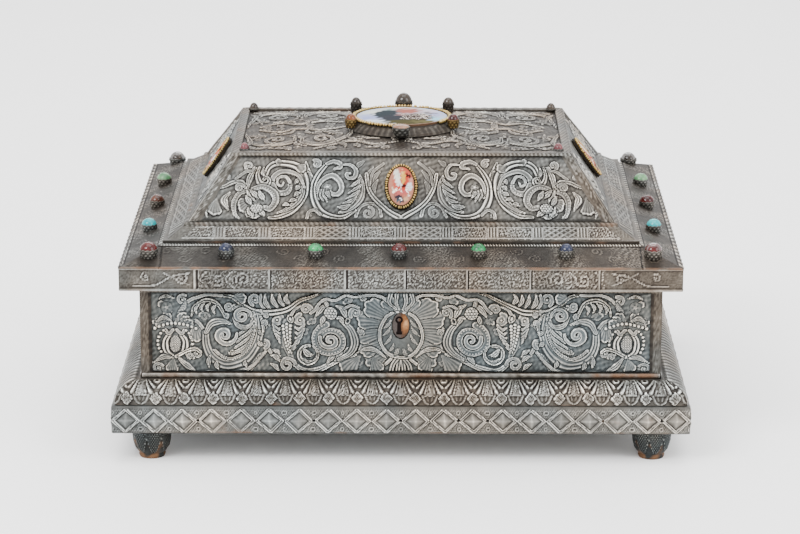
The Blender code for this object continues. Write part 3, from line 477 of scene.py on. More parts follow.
# %% [markdown]
# A chased sheet is a fine grid laid over four corners. Its points are lifted by the bench, and
# its edges are turned down and closed by a flat back, so that it stays a solid plate.
# "crest" compares each height with the mean of its neighbours, which finds edges and hollows.
# Hollows are then darkened, as tarnish and as painted shade, and edges lightened, as polish and as painted highlight.
# %% From bench to mesh
# Spreads over which the crest is taken, for tarnish and painted shade in hollows and polish and painted highlight on
# crests.
PATINA_AND_SHADE_SPREADS_MM = (0.5, 1.4)
COARSE_MM = 0.8
REPORT = {}


def blurred(heights, cells):
    """The mean over a square of cells each way."""
    wide = np.pad(heights, ((cells[0] + 1, cells[0]), (cells[1] + 1, cells[1])), mode="edge")
    total = wide.cumsum(0).cumsum(1)
    a, b = 2 * cells[0] + 1, 2 * cells[1] + 1
    return (total[a:, b:] - total[:-a, b:] - total[a:, :-b] + total[:-a, :-b]) / (a * b)


def grid_of(name, columns, rows):
    """A flat grid mesh and, for each point, its column and row."""
    bm = bmesh.new()
    bmesh.ops.create_grid(bm, x_segments=columns, y_segments=rows, size=1.0)
    mesh = bpy.data.meshes.new(name)
    bm.to_mesh(mesh)
    bm.free()
    place = np.empty(len(mesh.vertices) * 3)
    mesh.vertices.foreach_get("co", place)
    place = place.reshape(-1, 3)
    column = np.rint((place[:, 0] + 1) / 2 * columns).astype(int)
    row = np.rint((place[:, 1] + 1) / 2 * rows).astype(int)
    return mesh, column, row


def write_tones(mesh, bench, column, row, pitch):
    """Stores how far each point stands out, how sharply, how much copper shows and how much darker it is made. The
    sharpness gives painted shade in hollows and painted highlight on crests.
    """
    heights = np.zeros((row.max() + 1, column.max() + 1))
    heights[row, column] = bench.height
    crest = np.zeros_like(heights)
    for spread in PATINA_AND_SHADE_SPREADS_MM:
        cells = tuple(max(1, round(spread / size)) for size in pitch)
        crest += (heights - blurred(heights, cells)) / (1.0 + spread)
    tones = {"raised": bench.height / 1.2, "crest": 0.5 + crest[row, column], "copper": bench.copper,
             "tarnish_and_shade": bench.tarnish_and_shade}
    for name, values in tones.items():
        layer = mesh.attributes.new(name, "FLOAT", "POINT")
        layer.data.foreach_set("value", np.clip(values, 0, 1).astype(np.float32))


def close_and_place(name, mesh, material, fill, back=None, sharp=50, holed=False):
    """Closes a worked mesh, points its faces outwards and puts it in the scene."""
    bm = bmesh.new()
    bm.from_mesh(mesh)
    if back is not None:
        rim = [edge for edge in bm.edges if edge.is_boundary]
        grown = bmesh.ops.extrude_edge_only(bm, edges=rim)["geom"]
        moved = [item for item in grown if isinstance(item, bmesh.types.BMVert)]
        for vertex in moved:
            vertex.co = back(vertex.co)
    else:
        bmesh.ops.remove_doubles(bm, verts=bm.verts, dist=0.000002)
    gaps = [edge for edge in bm.edges if edge.is_boundary]
    if fill and holed:
        bmesh.ops.triangle_fill(bm, edges=gaps, use_beauty=True)
    elif fill:
        bmesh.ops.holes_fill(bm, edges=gaps, sides=0)
    bmesh.ops.recalc_face_normals(bm, faces=bm.faces)
    for face in bm.faces:
        face.smooth = True
    bm.to_mesh(mesh)
    faults = sum(not edge.is_manifold for edge in bm.edges)
    bm.free()
    mesh.set_sharp_from_angle(angle=math.radians(sharp))
    piece = bpy.data.objects.new(name, mesh)
    bpy.context.scene.collection.objects.link(piece)
    piece.data.materials.append(material)
    mesh.calc_loop_triangles()
    REPORT[name] = len(mesh.loop_triangles)
    print(name, "triangles", len(mesh.loop_triangles), "open edges", faults)
    return piece


def stands_for(piece, node_name):
    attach(piece, "root")
    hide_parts(node_name)
    return piece


def chased_sheet(name, corners, pitch_mm, draw, material, thickness=0.0018, level=None, opening=None):
    """A worked plate over four corners: near left, near right, far right and far left."""
    a, b, c, d = (np.asarray(corner, float) for corner in corners)
    across = max(np.linalg.norm(b - a), np.linalg.norm(c - d)) / MM
    upward = np.linalg.norm((c + d - a - b) / 2) / MM
    columns, rows = round(across / pitch_mm), round(upward / pitch_mm)
    mesh, column, row = grid_of(name, columns, rows)
    s, t = (column / columns)[:, None], (row / rows)[:, None]
    place = (a * (1 - s) + b * s) * (1 - t) + (d * (1 - s) + c * s) * t
    out = np.cross(b - a, d - a)
    out /= np.linalg.norm(out)
    width = (np.linalg.norm(b - a) * (1 - t[:, 0]) + np.linalg.norm(c - d) * t[:, 0]) / MM
    bench = Bench((s[:, 0] - 0.5) * width, (t[:, 0] - 0.5) * upward, width / 2, 0)
    if pitch_mm > COARSE_MM:
        bench.grid = pitch_mm
    bench.height[:] = 0.07 * ripple(bench.u, bench.v, 5, 2.3 + 3 * bench.grid) + 0.08 * ripple(bench.u, bench.v, 6, 9.0)
    draw(bench, across / 2, upward / 2)
    edge = np.minimum(bench.half - np.abs(bench.u), upward / 2 - np.abs(bench.v))
    bench.height *= np.clip(edge / 0.9, 0, 1)
    # The sheet is made darker within about a millimetre of its edges: painted shade where it meets the frame round it.
    bench.tarnish_and_shade = np.clip(bench.tarnish_and_shade + 0.9 * np.exp(-(edge / 0.9) ** 2), 0, 1)
    rise = bench.height
    if level is not None:
        rise = rise + level(s[:, 0] * 2 - 1, t[:, 0] * 2 - 1) / MM
    place = place + out * (rise * MM)[:, None]
    mesh.vertices.foreach_set("co", place.ravel())
    write_tones(mesh, bench, column, row, (pitch_mm, pitch_mm))
    if opening is not None:
        cut_opening(mesh, bench, opening)
    flat, middle = Vector(out), Vector((a + c) / 2)

    def back(point):
        return point - flat * ((point - middle).dot(flat) + thickness)

    return close_and_place(name, mesh, material, True, back, holed=opening is not None)


def cut_opening(mesh, bench, opening):
    """Takes the faces out of an oval, given by its middle and half sizes."""
    u, v, half_u, half_v = opening
    inside = np.hypot((bench.u - u) / half_u, (bench.v - v) / half_v) < 1
    bm = bmesh.new()
    bm.from_mesh(mesh)
    gone = [vertex for vertex in bm.verts if inside[vertex.index]]
    bmesh.ops.delete(bm, geom=gone, context="VERTS")
    bm.to_mesh(mesh)
    bm.free()


print("bench to mesh ready")

# %% [markdown]
# The front of the box is the best work on the casket. A cartouche frames the keyhole and a
# fringed shell grows out of it. Then come a winding scroll under a flower of berries, a scaled
# drop between two combs, a great leafy scroll, and a pomegranate at each end. The two halves
# mirror each other, so each place is drawn once and the hand's small strays set them apart.
# %% The front of the box
def draw_front(bench, half_u, half_v):
    stray = hand(bench.u, bench.v, 3, 0.22)
    true_u = bench.u
    bench.u = np.abs(true_u) + stray[0]
    bench.v = bench.v + stray[1]
    draw_low_growth(bench)
    draw_shell_leaves(bench)
    draw_cartouche(bench)
    draw_winding_scroll(bench)
    draw_scaled_drop(bench)
    draw_top_branch(bench)
    draw_great_scroll(bench)
    draw_pomegranate(bench)
    bench.u = true_u


def leaf_blade(bench, path, width, rise=0.8):
    """A pointed leaf with fine lines down its length."""
    bench.stroke(path, width, rise, "veined", (0.35, 1.0, 0.15))


def draw_low_growth(bench):
    """Faint tendrils and buds that fill the ground between the big forms."""
    for place, size, turn in (((120.9, 13.2), 3.4, 0), ((125.2, 6.6), 2.2, 1), ((126.0, -19.1), 2.8, 0), ((107.1, -0.1), 2.0, 1),
                              ((101.0, 8.0), 2.4, 0), ((87.3, -10.5), 1.6, 1), ((70.0, 3.2), 2.4, 0), ((45.9, 6.1), 2.0, 1),
                              ((49.4, -0.1), 1.8, 0), ((22.7, -16.2), 2.6, 1), ((107.1, -13.4), 2.0, 0), ((27.0, 17.0), 2.0, 1)):
        bench.stroke(spiral(place, size, size * 0.3, 70 * size, 1.2, 1 if turn else -1), 0.7, 0.42)
        bench.fan(place, (place[0] + size * 1.2, place[1] - size * 0.8 * (1 if turn else -1)), 30, 4, 0.3)


def draw_shell_leaves(bench):
    """The fringed shell round the cartouche, in big lobes each side."""
    bench.fan((4.0, -9.0), (17.5, -17.2), 24, 5, 0.5)
    bench.fan((3.5, -3.5), (21.0, -9.6), 22, 6)
    bench.fan((3.0, 0.5), (22.6, -1.6), 20, 6)
    bench.fan((3.0, 3.0), (21.8, 8.2), 20, 6)
    bench.fan((2.0, 4.5), (17.8, 15.8), 22, 6)
    bench.fan((1.0, 7.0), (8.0, 18.6), 20, 4, 0.5)
    curl(bench, (19.7, 18.4), 2.3, 20, 1)
    curl(bench, (20.9, -0.1), 2.0, 200, -1, 0.8)
    bench.stroke(curve((1.5, 11), (6.3, 16.1), (9.7, 19.4), (16.6, 20.0), (23.5, 18.9), (27.8, 19.9)), 1.0, 0.95)
    bench.stroke(curve((5.2, -14.4), (9, -18), (12.5, -21)), 1.0, 1.0)
    leaf_blade(bench, curve((8.0, -13.4), (13.2, -9.6), (19.2, -9.1), (23.5, -11.5)), 1.8)
    bench.fan((14.9, -12.4), (11.5, -21.9), 30, 5, 0.55)
    bench.fan((20.9, -12.4), (29.6, -21.0), 34, 6, 0.6)
    for lean in (-0.9, -0.3, 0.3, 0.9):
        bench.stroke(curve((lean * 1.5, -13.6), (lean * 4.5, -17), (lean * 5.5, -20.8)), 1.5, 0.7, "grooved")
    for side in (2.6, 6.0):
        bench.stroke(curve((side * 0.4, 12.5), (side, 16), (side * 0.9, 20.6)), 1.4, 0.7, "grooved", (0.6, 1.0))


def draw_cartouche(bench):
    """The ring round the lock, open at its top, with feathered leaves inside."""
    inside = np.hypot(bench.u / 10.3, (bench.v + 1.3) / 11.7) < 1
    bench.height[inside] = 0.05
    for start, tip in (((5.2, 6.5), (9.4, 2.2)), ((5.6, 3.0), (9.8, -2.0)), ((5.0, -1.5), (8.8, -7.0)),
                       ((3.6, -6.5), (6.4, -10.6))):
        leaf_blade(bench, curve(start, ((start[0] + tip[0]) / 2 - 0.7, (start[1] + tip[1]) / 2), tip), 1.3, 0.5)
    ring = [(11.2 * math.sin(a), -1.3 + 12.6 * math.cos(a)) for a in np.radians((22, 45, 75, 105, 135, 160, 180))]
    bench.stroke(curve(*ring), 1.05, 1.0)
    bench.punch((2.2, -11.0), (1.2, 2.4), 0.6, "leaf", 0.5)


def draw_winding_scroll(bench):
    """A winding scroll with a beaded band, and the flower of berries that grows over it."""
    bench.stroke(curve((57.5, -9.6), (56.7, -14.3), (54.1, -18.3), (49.4, -21.0), (42.5, -20.2), (33.0, -15.8), (23.5, -12.0)), 2.0,
                 0.85, "veined", (0.6, 1.1, 0.5))
    for base, tip in (((38.2, -17.2), (33.0, -12.0)), ((33.9, -15.8), (28.3, -10.1)), ((29.6, -13.4), (24.8, -6.7))):
        leaf_blade(bench, curve(base, ((base[0] + tip[0]) / 2 + 0.8, (base[1] + tip[1]) / 2), tip), 2.0)
    bench.stroke(curve((30.8, 6.4), (25.7, 0.9), (23.9, -5.8), (26.8, -11.5), (32.1, -14.8)), 2.7, 0.8, "veined", (0.6, 1.1, 0.5))
    bench.stroke(spiral((36.3, -4.4), 9.0, 5.0, 75, 1.15, -1, 0.97), 2.1, 0.95, "beaded", (1.1, 0.9), 1.5)
    bench.stroke(spiral((36.3, -4.4), 5.5, 1.1, 20, 1.3, -1, 0.97), 1.35, 1.1, "round", (1.0, 1.2, 0.8))
    for base, tip, width in (((37.3, 14.2), (44.2, 8.0), 2.4), ((33.0, 14.2), (27.4, 7.0), 2.4), ((39.9, 16.5), (37.7, 12.7), 1.6),
                             ((33.4, 8.0), (29.1, 3.5), 1.9), ((38.3, 8.0), (41.6, 3.5), 1.9)):
        leaf_blade(bench, curve(base, ((base[0] + tip[0]) / 2, (base[1] + tip[1]) / 2 + 2.0), tip), width, 1.0)
    bench.punch((36.3, 10.2), (3.4, 3.2), 1.15, "berries", 0, 1.6)
    bench.punch((27.4, 6.1), (1.5, 2.2), 1.0, "ring", 0.3)
    curl(bench, (48.7, 12.4), 3.2, 200, -1, 1.25)
    bench.stroke(curve((46.3, 10.4), (44.2, 12.3), (41.6, 16.1), (38.2, 17.8), (33.9, 17.2), (28.7, 19.7)), 1.1, 0.95)
    curl(bench, (23.5, 10.5), 3.1, -40, 1, 1.15)
    bench.stroke(curve((22.0, 13.2), (25.7, 14.2), (29.1, 12.7)), 0.9, 0.85)


def draw_scaled_drop(bench):
    """A drop of scales under a bud, between two curling combs, and the ring at its foot."""
    for side in (-1, 1):
        curl(bench, (57.8 + side * 6.0, 6.6), 3.2, 90, side, 1.4, 1.05)
        for i in range(5):
            v = 3.4 - 2.6 * i
            out = 8.1 - 0.28 * i * i
            bench.stroke(curve((57.8 + side * 3.4, v - 1.0), (57.8 + side * (out - 2.2), v - 1.9), (57.8 + side * out, v + 1.2)),
                         1.30, 1.0, "round", (0.5, 1.2, 0.5), cover=0.1)
    bench.stroke(curve((58.6, 5.0), (59.2, -5.5), (57.2, -12.0), (55.8, -16.0)), 3.0, 0.55, "round", (1.1, 0.9, 0.4))
    for i in range(9):
        for shift in (-1, 0, 1):
            spread = 1.9 * (1 - 0.085 * i)
            spot = (58.9 + shift * spread - 0.03 * i * i, 4.0 - 1.75 * i - (0.9 if shift else 0))
            bench.punch(spot, (1.05 * (1 - 0.05 * i), 1.15), 1.1, "dome")
    bench.punch((57.0, 7.4), (2.0, 2.8), 0.95, "ring", -0.35)
    bench.punch((57.0, 7.2), (0.9, 1.5), 1.0, "dome", -0.35)
    bench.stroke(curve((56.4, 9.8), (54.8, 12.2), (51.6, 13.8)), 1.2, 0.95, "round", (1, 0.6))
    bench.stroke(spiral((48.1, -12.0), 5.2, 4.6, 120, 0.95, 1), 1.3, 0.9, "grooved", (0.5, 1.2, 0.8))
    leaf_blade(bench, curve((50.7, -9.1), (48.5, -12.0), (45.5, -12.6)), 2.3, 1.0)
    leaf_blade(bench, curve((50.7, -14.3), (48.5, -16.2), (45.1, -15.3)), 1.3, 0.7)
    bench.stroke(spiral((58.8, -17.8), 4.3, 1.2, 170, 1.3, -1), 1.15, 0.85)
    for base, tip in (((66.6, -9.6), (62.3, -13.4)), ((67.5, -12.4), (62.3, -16.2)), ((67.5, -17.2), (63.1, -21.0))):
        leaf_blade(bench, curve(base, ((base[0] + tip[0]) / 2, (base[1] + tip[1]) / 2 + 1.0), tip), 1.8, 0.75)
    bench.stroke(curve((77.6, -21.2), (74.2, -14.8), (68.7, -9.8)), 2.5, 0.85, "feather", (0.2, 1.0, 0.2), 1.2)
    bench.stroke(curve((67.5, -11.0), (69.2, -8.6), (71.8, -6.9)), 1.2, 0.9)
    curl(bench, (70.7, -6.0), 2.6, 260, -1, 1.2)


def draw_top_branch(bench):
    """The branch that runs along the top, with a leafy hook, long fronds and tight curls on it."""
    for base, bend, tip in (((69.6, 20.6), (69.6, 16.1), (66.6, 11.5)), ((66.2, 20.6), (65.7, 16.5), (62.7, 12.1)),
                            ((62.3, 20.6), (62.3, 17.0), (59.7, 13.2)), ((58.4, 20.4), (59.3, 17.5), (56.7, 14.6))):
        leaf_blade(bench, curve(base, bend, tip), 1.9, 0.85)
    curl(bench, (74.9, 17.7), 3.3, 300, 1, 1.2)
    bench.stroke(curve((71.8, 19.9), (72.2, 16.1), (70.0, 12.1)), 1.0, 0.8)
    bench.stroke(curve((94.2, 20.4), (87.3, 19.1), (81.9, 15.1), (76.1, 11.5), (70.0, 10.5), (63.1, 11.1), (57.1, 13.4), (50.2, 17.5),
                       (40.3, 21.4)), 1.8, 1.05, "grooved", (0.6, 1.2, 0.4))
    bench.fan((87.3, 18.0), (79.5, 18.9), 34, 5, 0.6)
    bench.stroke(curve((107.8, 8.9), (106.6, 14.0), (101.0, 17.4), (95.4, 16.1), (92.2, 11.8), (90.5, 8.3)), 1.3, 1.0, "grooved",
                 (0.5, 1.2, 0.7))
    for u, v in ((105.2, 9.9), (102.1, 10.8), (99.0, 10.8), (95.9, 9.8)):
        leaf_blade(bench, curve((u, v), (u + 0.7, v + 2.7), (u - 1.6, v + 5.3)), 1.4, 0.9)
    curl(bench, (88.6, 14.0), 2.7, 180, 1, 1.15)
    curl(bench, (90.1, 8.3), 1.6, 90, 1, 0.8)
    leaf_blade(bench, curve((87.3, 12.3), (83.8, 13.2), (78.7, 11.5)), 1.6)
    bench.stroke(curve((110.5, 15.6), (107.1, 18.4), (100.2, 20.2), (92.4, 20.0)), 1.1, 0.85)
    curl(bench, (112.4, 17.0), 2.9, 120, -1, 1.0, 0.8)
    bench.stroke(curve((111.0, 15.6), (112.9, 11.3), (115.5, 5.8)), 2.2, 0.6, "feather", (0.5, 1.0, 0.4), 1.2)
    for place in ((72.0, 10.2), (69.0, 8.9), (78.0, 9.8)):
        curl(bench, place, 1.6, 100, -1, 0.75)


def draw_great_scroll(bench):
    """The great scroll: a broad leafy crescent lined with beads, and two eyes that curl inside it."""
    bench.stroke(curve((106.6, -21.9), (99.3, -21.6), (90.7, -22.5), (82.1, -21.2), (76.1, -17.9), (70.0, -10.5)), 1.5, 0.85, "veined",
                 (0.4, 1.0, 0.6))
    bench.fan((105.8, 6.4), (105.2, -5.0), 28, 6, 0.75)
    bench.stroke(curve((109.7, 6.2), (105.4, 6.0), (102.4, 2.6), (101.2, -0.6)), 1.1, 0.95)
    bench.stroke(curve((100.9, -0.1), (100.4, -7.2), (97.6, -13.4), (92.4, -17.0), (85.5, -17.2), (79.1, -13.4), (74.7, -6.9), (72.8, 0.9),
                       (73.8, 8.9)), 3.6, 0.75, "veined", (0.6, 1.15, 0.5))
    for base, tip in (((98.5, -12.4), (98.9, -19.6)), ((95.0, -15.8), (94.2, -20.5)), ((80.4, -15.3), (79.5, -19.1)), ((73.9, -4.8), (71.1, -7.7)),
                      ((73.3, 0.9), (70.7, -1.0))):
        leaf_blade(bench, curve(base, ((base[0] + tip[0]) / 2 + 0.6, (base[1] + tip[1]) / 2), tip), 1.8, 0.8)
    for base, bend, tip in (((75.9, 8.9), (78.0, 3.2), (83.6, -1.8)), ((75.9, 4.7), (78.8, -0.8), (84.7, -5.0)),
                            ((76.4, 0.1), (79.9, -4.8), (85.5, -8.4)), ((77.6, -4.1), (81.2, -8.6), (87.3, -11.5))):
        bench.stroke(curve(base, bend, tip), 1.9, 0.8, "veined", (0.3, 1.0, 0.6))
    bench.stroke(curve((96.6, -9.8), (92.0, -13.4), (86.4, -14.3), (80.4, -10.5), (76.8, -3.4), (75.2, 4.2), (76.1, 11.3)), 1.05, 1.05,
                 "beaded", (0.8, 1.1, 0.7), 1.3)
    bench.stroke(curve((100.6, -0.1), (97.6, 4.7), (92.4, 6.0), (87.3, 4.1)), 2.4, 0.8, "veined", (0.6, 1.1, 0.3))
    bench.stroke(spiral((90.9, -1.5), 6.6, 1.2, 175, 1.55, 1, 0.95), 1.75, 1.15, "round", (0.5, 1.25, 0.7))
    bench.stroke(curve((86.2, 8.0), (83.8, 3.5), (79.5, 2.9), (75.9, 5.6)), 1.9, 0.85, "veined", (0.5, 1.0, 0.4))
    bench.stroke(spiral((82.1, 8.8), 4.9, 1.1, 185, 1.5, -1), 1.35, 1.1, "round", (0.7, 1.15, 0.7))
    leaf_blade(bench, curve((72.8, 9.4), (70.7, 3.7), (71.3, -2.0)), 1.5, 0.85)
    curl(bench, (69.6, 4.7), 1.7, 0, 1, 0.75)
    bench.punch((87.4, -10.5), (1.0, 1.0), 0.9, "ring")


def draw_pomegranate(bench):
    """The fruit at each end, split between two husks under a crown, with leaves at its foot."""
    for s in (-1, 1):
        for i in range(3):
            tip = (116.6 + s * (5.2 + 2.0 * i), 10.4 - 2.2 * i)
            bench.fan((116.6 + s * 1.0, 0.6), tip, 20, 4, 0.5)
        bench.stroke(curve((116.6 + s * 2.6, -0.8), (116.6 + s * 5.2, -5.0), (116.6 + s * 4.4, -10.4), (116.6 + s * 0.6, -13.6)),
                     1.9, 0.95, "grooved", (0.6, 1.15, 0.6))
        bench.stroke(curve((116.6 + s * 1.0, 1.0), (116.6 + s * 3.4, -1.0), (116.6 + s * 4.8, 0.8)), 1.1, 0.9)
    for i in range(11):
        bench.punch((105.6 + 2.1 * i, 4.6 - 0.10 * (i - 5) ** 2), (0.95, 1.05), 0.9)
    for i in range(16):
        angle = math.radians(-50 + 100 * (i % 8) / 7)
        side = 1 if i < 8 else -1
        bench.punch((116.6 + side * 9.0 * math.cos(angle), -5.8 + 8.4 * math.sin(angle)), (0.8, 0.8), 0.8)
    bench.punch((116.6, -6.4), (2.8, 4.6), 0.9, "hatched", 0, 1.15)
    curl(bench, (105.4, -11.7), 2.9, 40, 1, 1.05)
    bench.stroke(curve((115.9, -13.4), (111.0, -10.3), (106.2, -9.2), (103.5, -10.7)), 1.2, 0.9, "grooved")
    leaf_blade(bench, curve((114.8, -14.1), (111.0, -18.3), (105.8, -21.7)), 2.2)
    leaf_blade(bench, curve((117.8, -14.1), (122.6, -13.4), (127.6, -16.2)), 2.0, 0.7)
    bench.fan((117.0, -14.3), (119.1, -21.9), 34, 6, 0.55)
    curl(bench, (126.0, -19.6), 3.0, 150, -1, 0.9, 0.7)
    curl(bench, (109.2, -13.4), 2.0, 200, -1, 0.8)
    leaf_blade(bench, curve((118.3, 6.1), (122.6, 8.0), (126.5, 4.7)), 1.8, 0.7)
    bench.punch((120.7, 13.2), (3.0, 2.8), 0.6, "rose")
    leaf_blade(bench, curve((124.3, 18.0), (120.9, 19.4), (116.1, 18.0)), 1.6, 0.6)


box_low, box_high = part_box("front_sheet")
lock_low, lock_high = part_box("lock_plate")
LOCK_HALF_MM = ((lock_high.x - lock_low.x) / 2 / MM, (lock_high.z - lock_low.z) / 2 / MM)
LOCK_MIDDLE_MM = (lock_high.z + lock_low.z - box_high.z - box_low.z) / 2 / MM
SHEET_THICKNESS = 0.002
front_y = box_high.y - SHEET_THICKNESS
front_low, front_top = box_low.z, box_high.z
side_u = box_high.x
front = chased_sheet(
    "front_sheet_chased",
    ((-side_u, front_y, front_low), (side_u, front_y, front_low), (side_u, front_y, front_top), (-side_u, front_y, front_top)),
    0.40, draw_front, aged_silver("front_silver", SLATE, 0.40, 1.45), SHEET_THICKNESS - 0.0002, None,
    (0.0, LOCK_MIDDLE_MM, LOCK_HALF_MM[0] + 0.25, LOCK_HALF_MM[1] + 0.25))
stands_for(front, "front_sheet")

# %% [markdown]
# The lock shows through an oval hole in the sheet, as a plate of worn copper alloy with a
# keyhole. A pin stands in the round part of the keyhole to guide the barrel of the key.
# %% The lock
KEYHOLE_TOP_MM = 2.9
KEYHOLE_RADIUS_MM = 2.0
KEYHOLE_SLOT_MM = (1.05, -3.2)
KEYHOLE_FOOT_MM = (1.5, -5.0)
KEYHOLE_SHIFT_MM = -0.9
LOCK_FACE = 0.0006


def keyhole():
    """The outline of the keyhole, from the foot of its slot round its top."""
    turn = np.radians(np.linspace(-62, 242, 22))
    head = [(KEYHOLE_RADIUS_MM * math.cos(a), KEYHOLE_TOP_MM + KEYHOLE_RADIUS_MM * math.sin(a)) for a in turn]
    slot, slot_end = KEYHOLE_SLOT_MM
    foot, foot_end = KEYHOLE_FOOT_MM
    tail = [(-slot, slot_end), (-foot, slot_end - 0.2), (-foot, foot_end), (foot, foot_end), (foot, slot_end - 0.2),
            (slot, slot_end)]
    return [(x + KEYHOLE_SHIFT_MM, y) for x, y in head + tail]


def lock_face():
    bm = bmesh.new()
    outline = [(LOCK_HALF_MM[0] * math.cos(a), LOCK_HALF_MM[1] * math.sin(a)) for a in np.linspace(0, 2 * np.pi, 49)[:-1]]
    for loop in (outline, keyhole()):
        corners = [bm.verts.new((x * MM, front_y + LOCK_FACE, z * MM + (lock_low.z + lock_high.z) / 2)) for x, z in loop]
        for i, corner in enumerate(corners):
            bm.edges.new((corner, corners[(i + 1) % len(corners)]))
    face = bmesh.ops.triangle_fill(bm, edges=bm.edges[:], use_beauty=True)["geom"]
    grown = bmesh.ops.extrude_face_region(bm, geom=[item for item in face if isinstance(item, bmesh.types.BMFace)])
    moved = [item for item in grown["geom"] if isinstance(item, bmesh.types.BMVert)]
    bmesh.ops.translate(bm, verts=moved, vec=(0, 0.0024, 0))
    bmesh.ops.recalc_face_normals(bm, faces=bm.faces)
    return bm


def pin(bm):
    """The pin in the keyhole, and the back of the lock behind it, which the lock's colour makes near black as painted
    shade.
    """
    behind = Matrix.Translation((KEYHOLE_SHIFT_MM * MM, front_y + 0.0016, (lock_low.z + lock_high.z) / 2))
    bmesh.ops.create_cube(bm, size=1.0, matrix=behind @ Matrix.Diagonal((0.0050, 0.0006, 0.0116, 1.0)))
    place = Matrix.Translation((KEYHOLE_SHIFT_MM * MM, front_y + 0.0020, (lock_low.z + lock_high.z) / 2 + KEYHOLE_TOP_MM * MM))
    bmesh.ops.create_cone(bm, cap_ends=True, segments=20, radius1=0.0010, radius2=0.0009, depth=0.0024,
                          matrix=place @ Matrix.Rotation(math.radians(90), 4, "X"))


def lock_material():
    """Bare copper alloy, bright on the right of the keyhole and grey on its left. Deep in the keyhole it is near black,
    as painted shade.
    """
    material = bpy.data.materials.new("lock_copper")
    material.use_nodes = True
    tree = material.node_tree
    shader = tree.nodes["Principled BSDF"]
    place = node(tree, "ShaderNodeTexCoord").outputs["Object"]
    away = node(tree, "ShaderNodeVectorMath", operation="SUBTRACT")
    tree.links.new(place, away.inputs[0])
    away.inputs[1].default_value = (0.0026, front_y, (lock_low.z + lock_high.z) / 2 + 0.0008)
    shares = node(tree, "ShaderNodeVectorMath", operation="MULTIPLY")
    tree.links.new(away.outputs[0], shares.inputs[0])
    shares.inputs[1].default_value = (1 / 0.0042, 0.0, 1 / 0.0090)
    spread = node(tree, "ShaderNodeVectorMath", operation="LENGTH")
    tree.links.new(shares.outputs[0], spread.inputs[0])
    bare = sum_of(tree, (0.62, (spread.outputs["Value"], -0.85), (noise_of(tree, place, 500.0, 3.0), 0.62)))
    colour = ramp_of(tree, bare, ((0.0, (0.058, 0.048, 0.044)), (0.32, (0.060, 0.030, 0.017)), (0.60, (0.17, 0.072, 0.029)),
                                  (0.90, (0.40, 0.21, 0.095))))
    # Anything more than about a millimetre behind the lock's face is coloured near black: painted shade inside the
    # keyhole.
    depth = node(tree, "ShaderNodeSeparateXYZ")
    tree.links.new(place, depth.inputs[0])
    inside = threshold(tree, depth.outputs["Y"], front_y + 0.0009, front_y + 0.0012)
    tree.links.new(blend_colour(tree, inside, colour, (0.004, 0.0015, 0.001)), shader.inputs["Base Color"])
    shader.inputs["Metallic"].default_value = 0.25
    shader.inputs["Roughness"].default_value = 0.48
    shader.inputs["Specular IOR Level"].default_value = 0.08
    return material


front_lock = bpy.data.meshes.new("lock_plate_worn")
lock_shape = lock_face()
pin(lock_shape)
lock_shape.to_mesh(front_lock)
lock_shape.free()
lock = bpy.data.objects.new("lock_plate_worn", front_lock)
bpy.context.scene.collection.objects.link(lock)
front_lock.materials.append(lock_material())
stands_for(lock, "lock_plate")
print("keyhole points:", len(keyhole()))

# %% [markdown]
# The sides and back can't be seen in the photograph. They carry the same kind of scrolls in a
# plainer order: a palmette in the middle and scrolls that wind away from it.
# %% The other sides of the box
def palmette(bench, height):
    """An upright fan of leaves."""
    for lean in (0.75, 0.4, 0.0):
        tip = (height * 0.75 * math.sin(lean), height * math.cos(lean * 0.9) - height * 0.25)
        bench.stroke(curve((0.4, -height * 0.6), (tip[0] * 0.75, tip[1] * 0.2), tip), 2.4, 0.85, "feather",
                     (0.6, 0.9), 1.7)
    curl(bench, (4.6, -height * 0.72), 2.6, 180, -1)


def winding_pair(bench, middle, size, spin, beads=True):
    """A leafy scroll that winds in to a smooth eye, with small curls in its corners."""
    start = 215 if spin < 0 else 145
    for i in range(6):
        turn = math.radians(start + spin * 50 * i)
        root = (middle + size * 0.86 * math.cos(turn), size * 0.82 * math.sin(turn))
        turn += spin * 0.45
        bench.fan(root, (middle + size * 1.32 * math.cos(turn), size * 1.25 * math.sin(turn)), 26, 5, 0.6)
    bench.stroke(spiral((middle, 0), size, size * 0.80, start, 0.85, spin, 0.95), size * 0.17, 0.85, "fringed"
                 if spin < 0 else "fringed_in", (0.9, 1.0), 2.2)
    form = "beaded" if beads else "rope"
    bench.stroke(spiral((middle, 0), size * 0.74, size * 0.42, start + 30, 0.9, spin, 0.95), size * 0.12, 0.9,
                 form, (1.0, 0.9), 1.5)
    bench.stroke(spiral((middle, 0), size * 0.45, size * 0.12, start, 1.1, spin, 0.95), size * 0.085, 1.05)


def draw_side(bench, half_u, half_v, pairs=2):
    stray = hand(bench.u, bench.v, 21 + pairs, 0.25)
    true_u = bench.u
    bench.u = np.abs(true_u) + stray[0]
    bench.v = bench.v + stray[1]
    palmette(bench, half_v * 0.95)
    gap = (half_u - 14) / pairs
    for i in range(pairs):
        middle = 14 + gap * (i + 0.5)
        spin = -1 if i % 2 == 0 else 1
        winding_pair(bench, middle, min(gap * 0.40, half_v * 0.68), spin, i % 2 == 0)
        for up in (1, -1):
            edge = middle + gap * 0.46
            curl(bench, (edge, up * half_v * 0.72), 2.7, 90 * up, -up)
            bench.stroke(curve((edge - 12, up * half_v * 0.93), (edge - 6, up * half_v * 0.86),
                               (edge - 2, up * half_v * 0.45)), 1.5, 0.75, "feather", (0.6, 0.9), 1.5)
        bench.punch((middle + gap * 0.5, 0), (2.6, 2.6), 0.9, "rose")
    bench.u = true_u


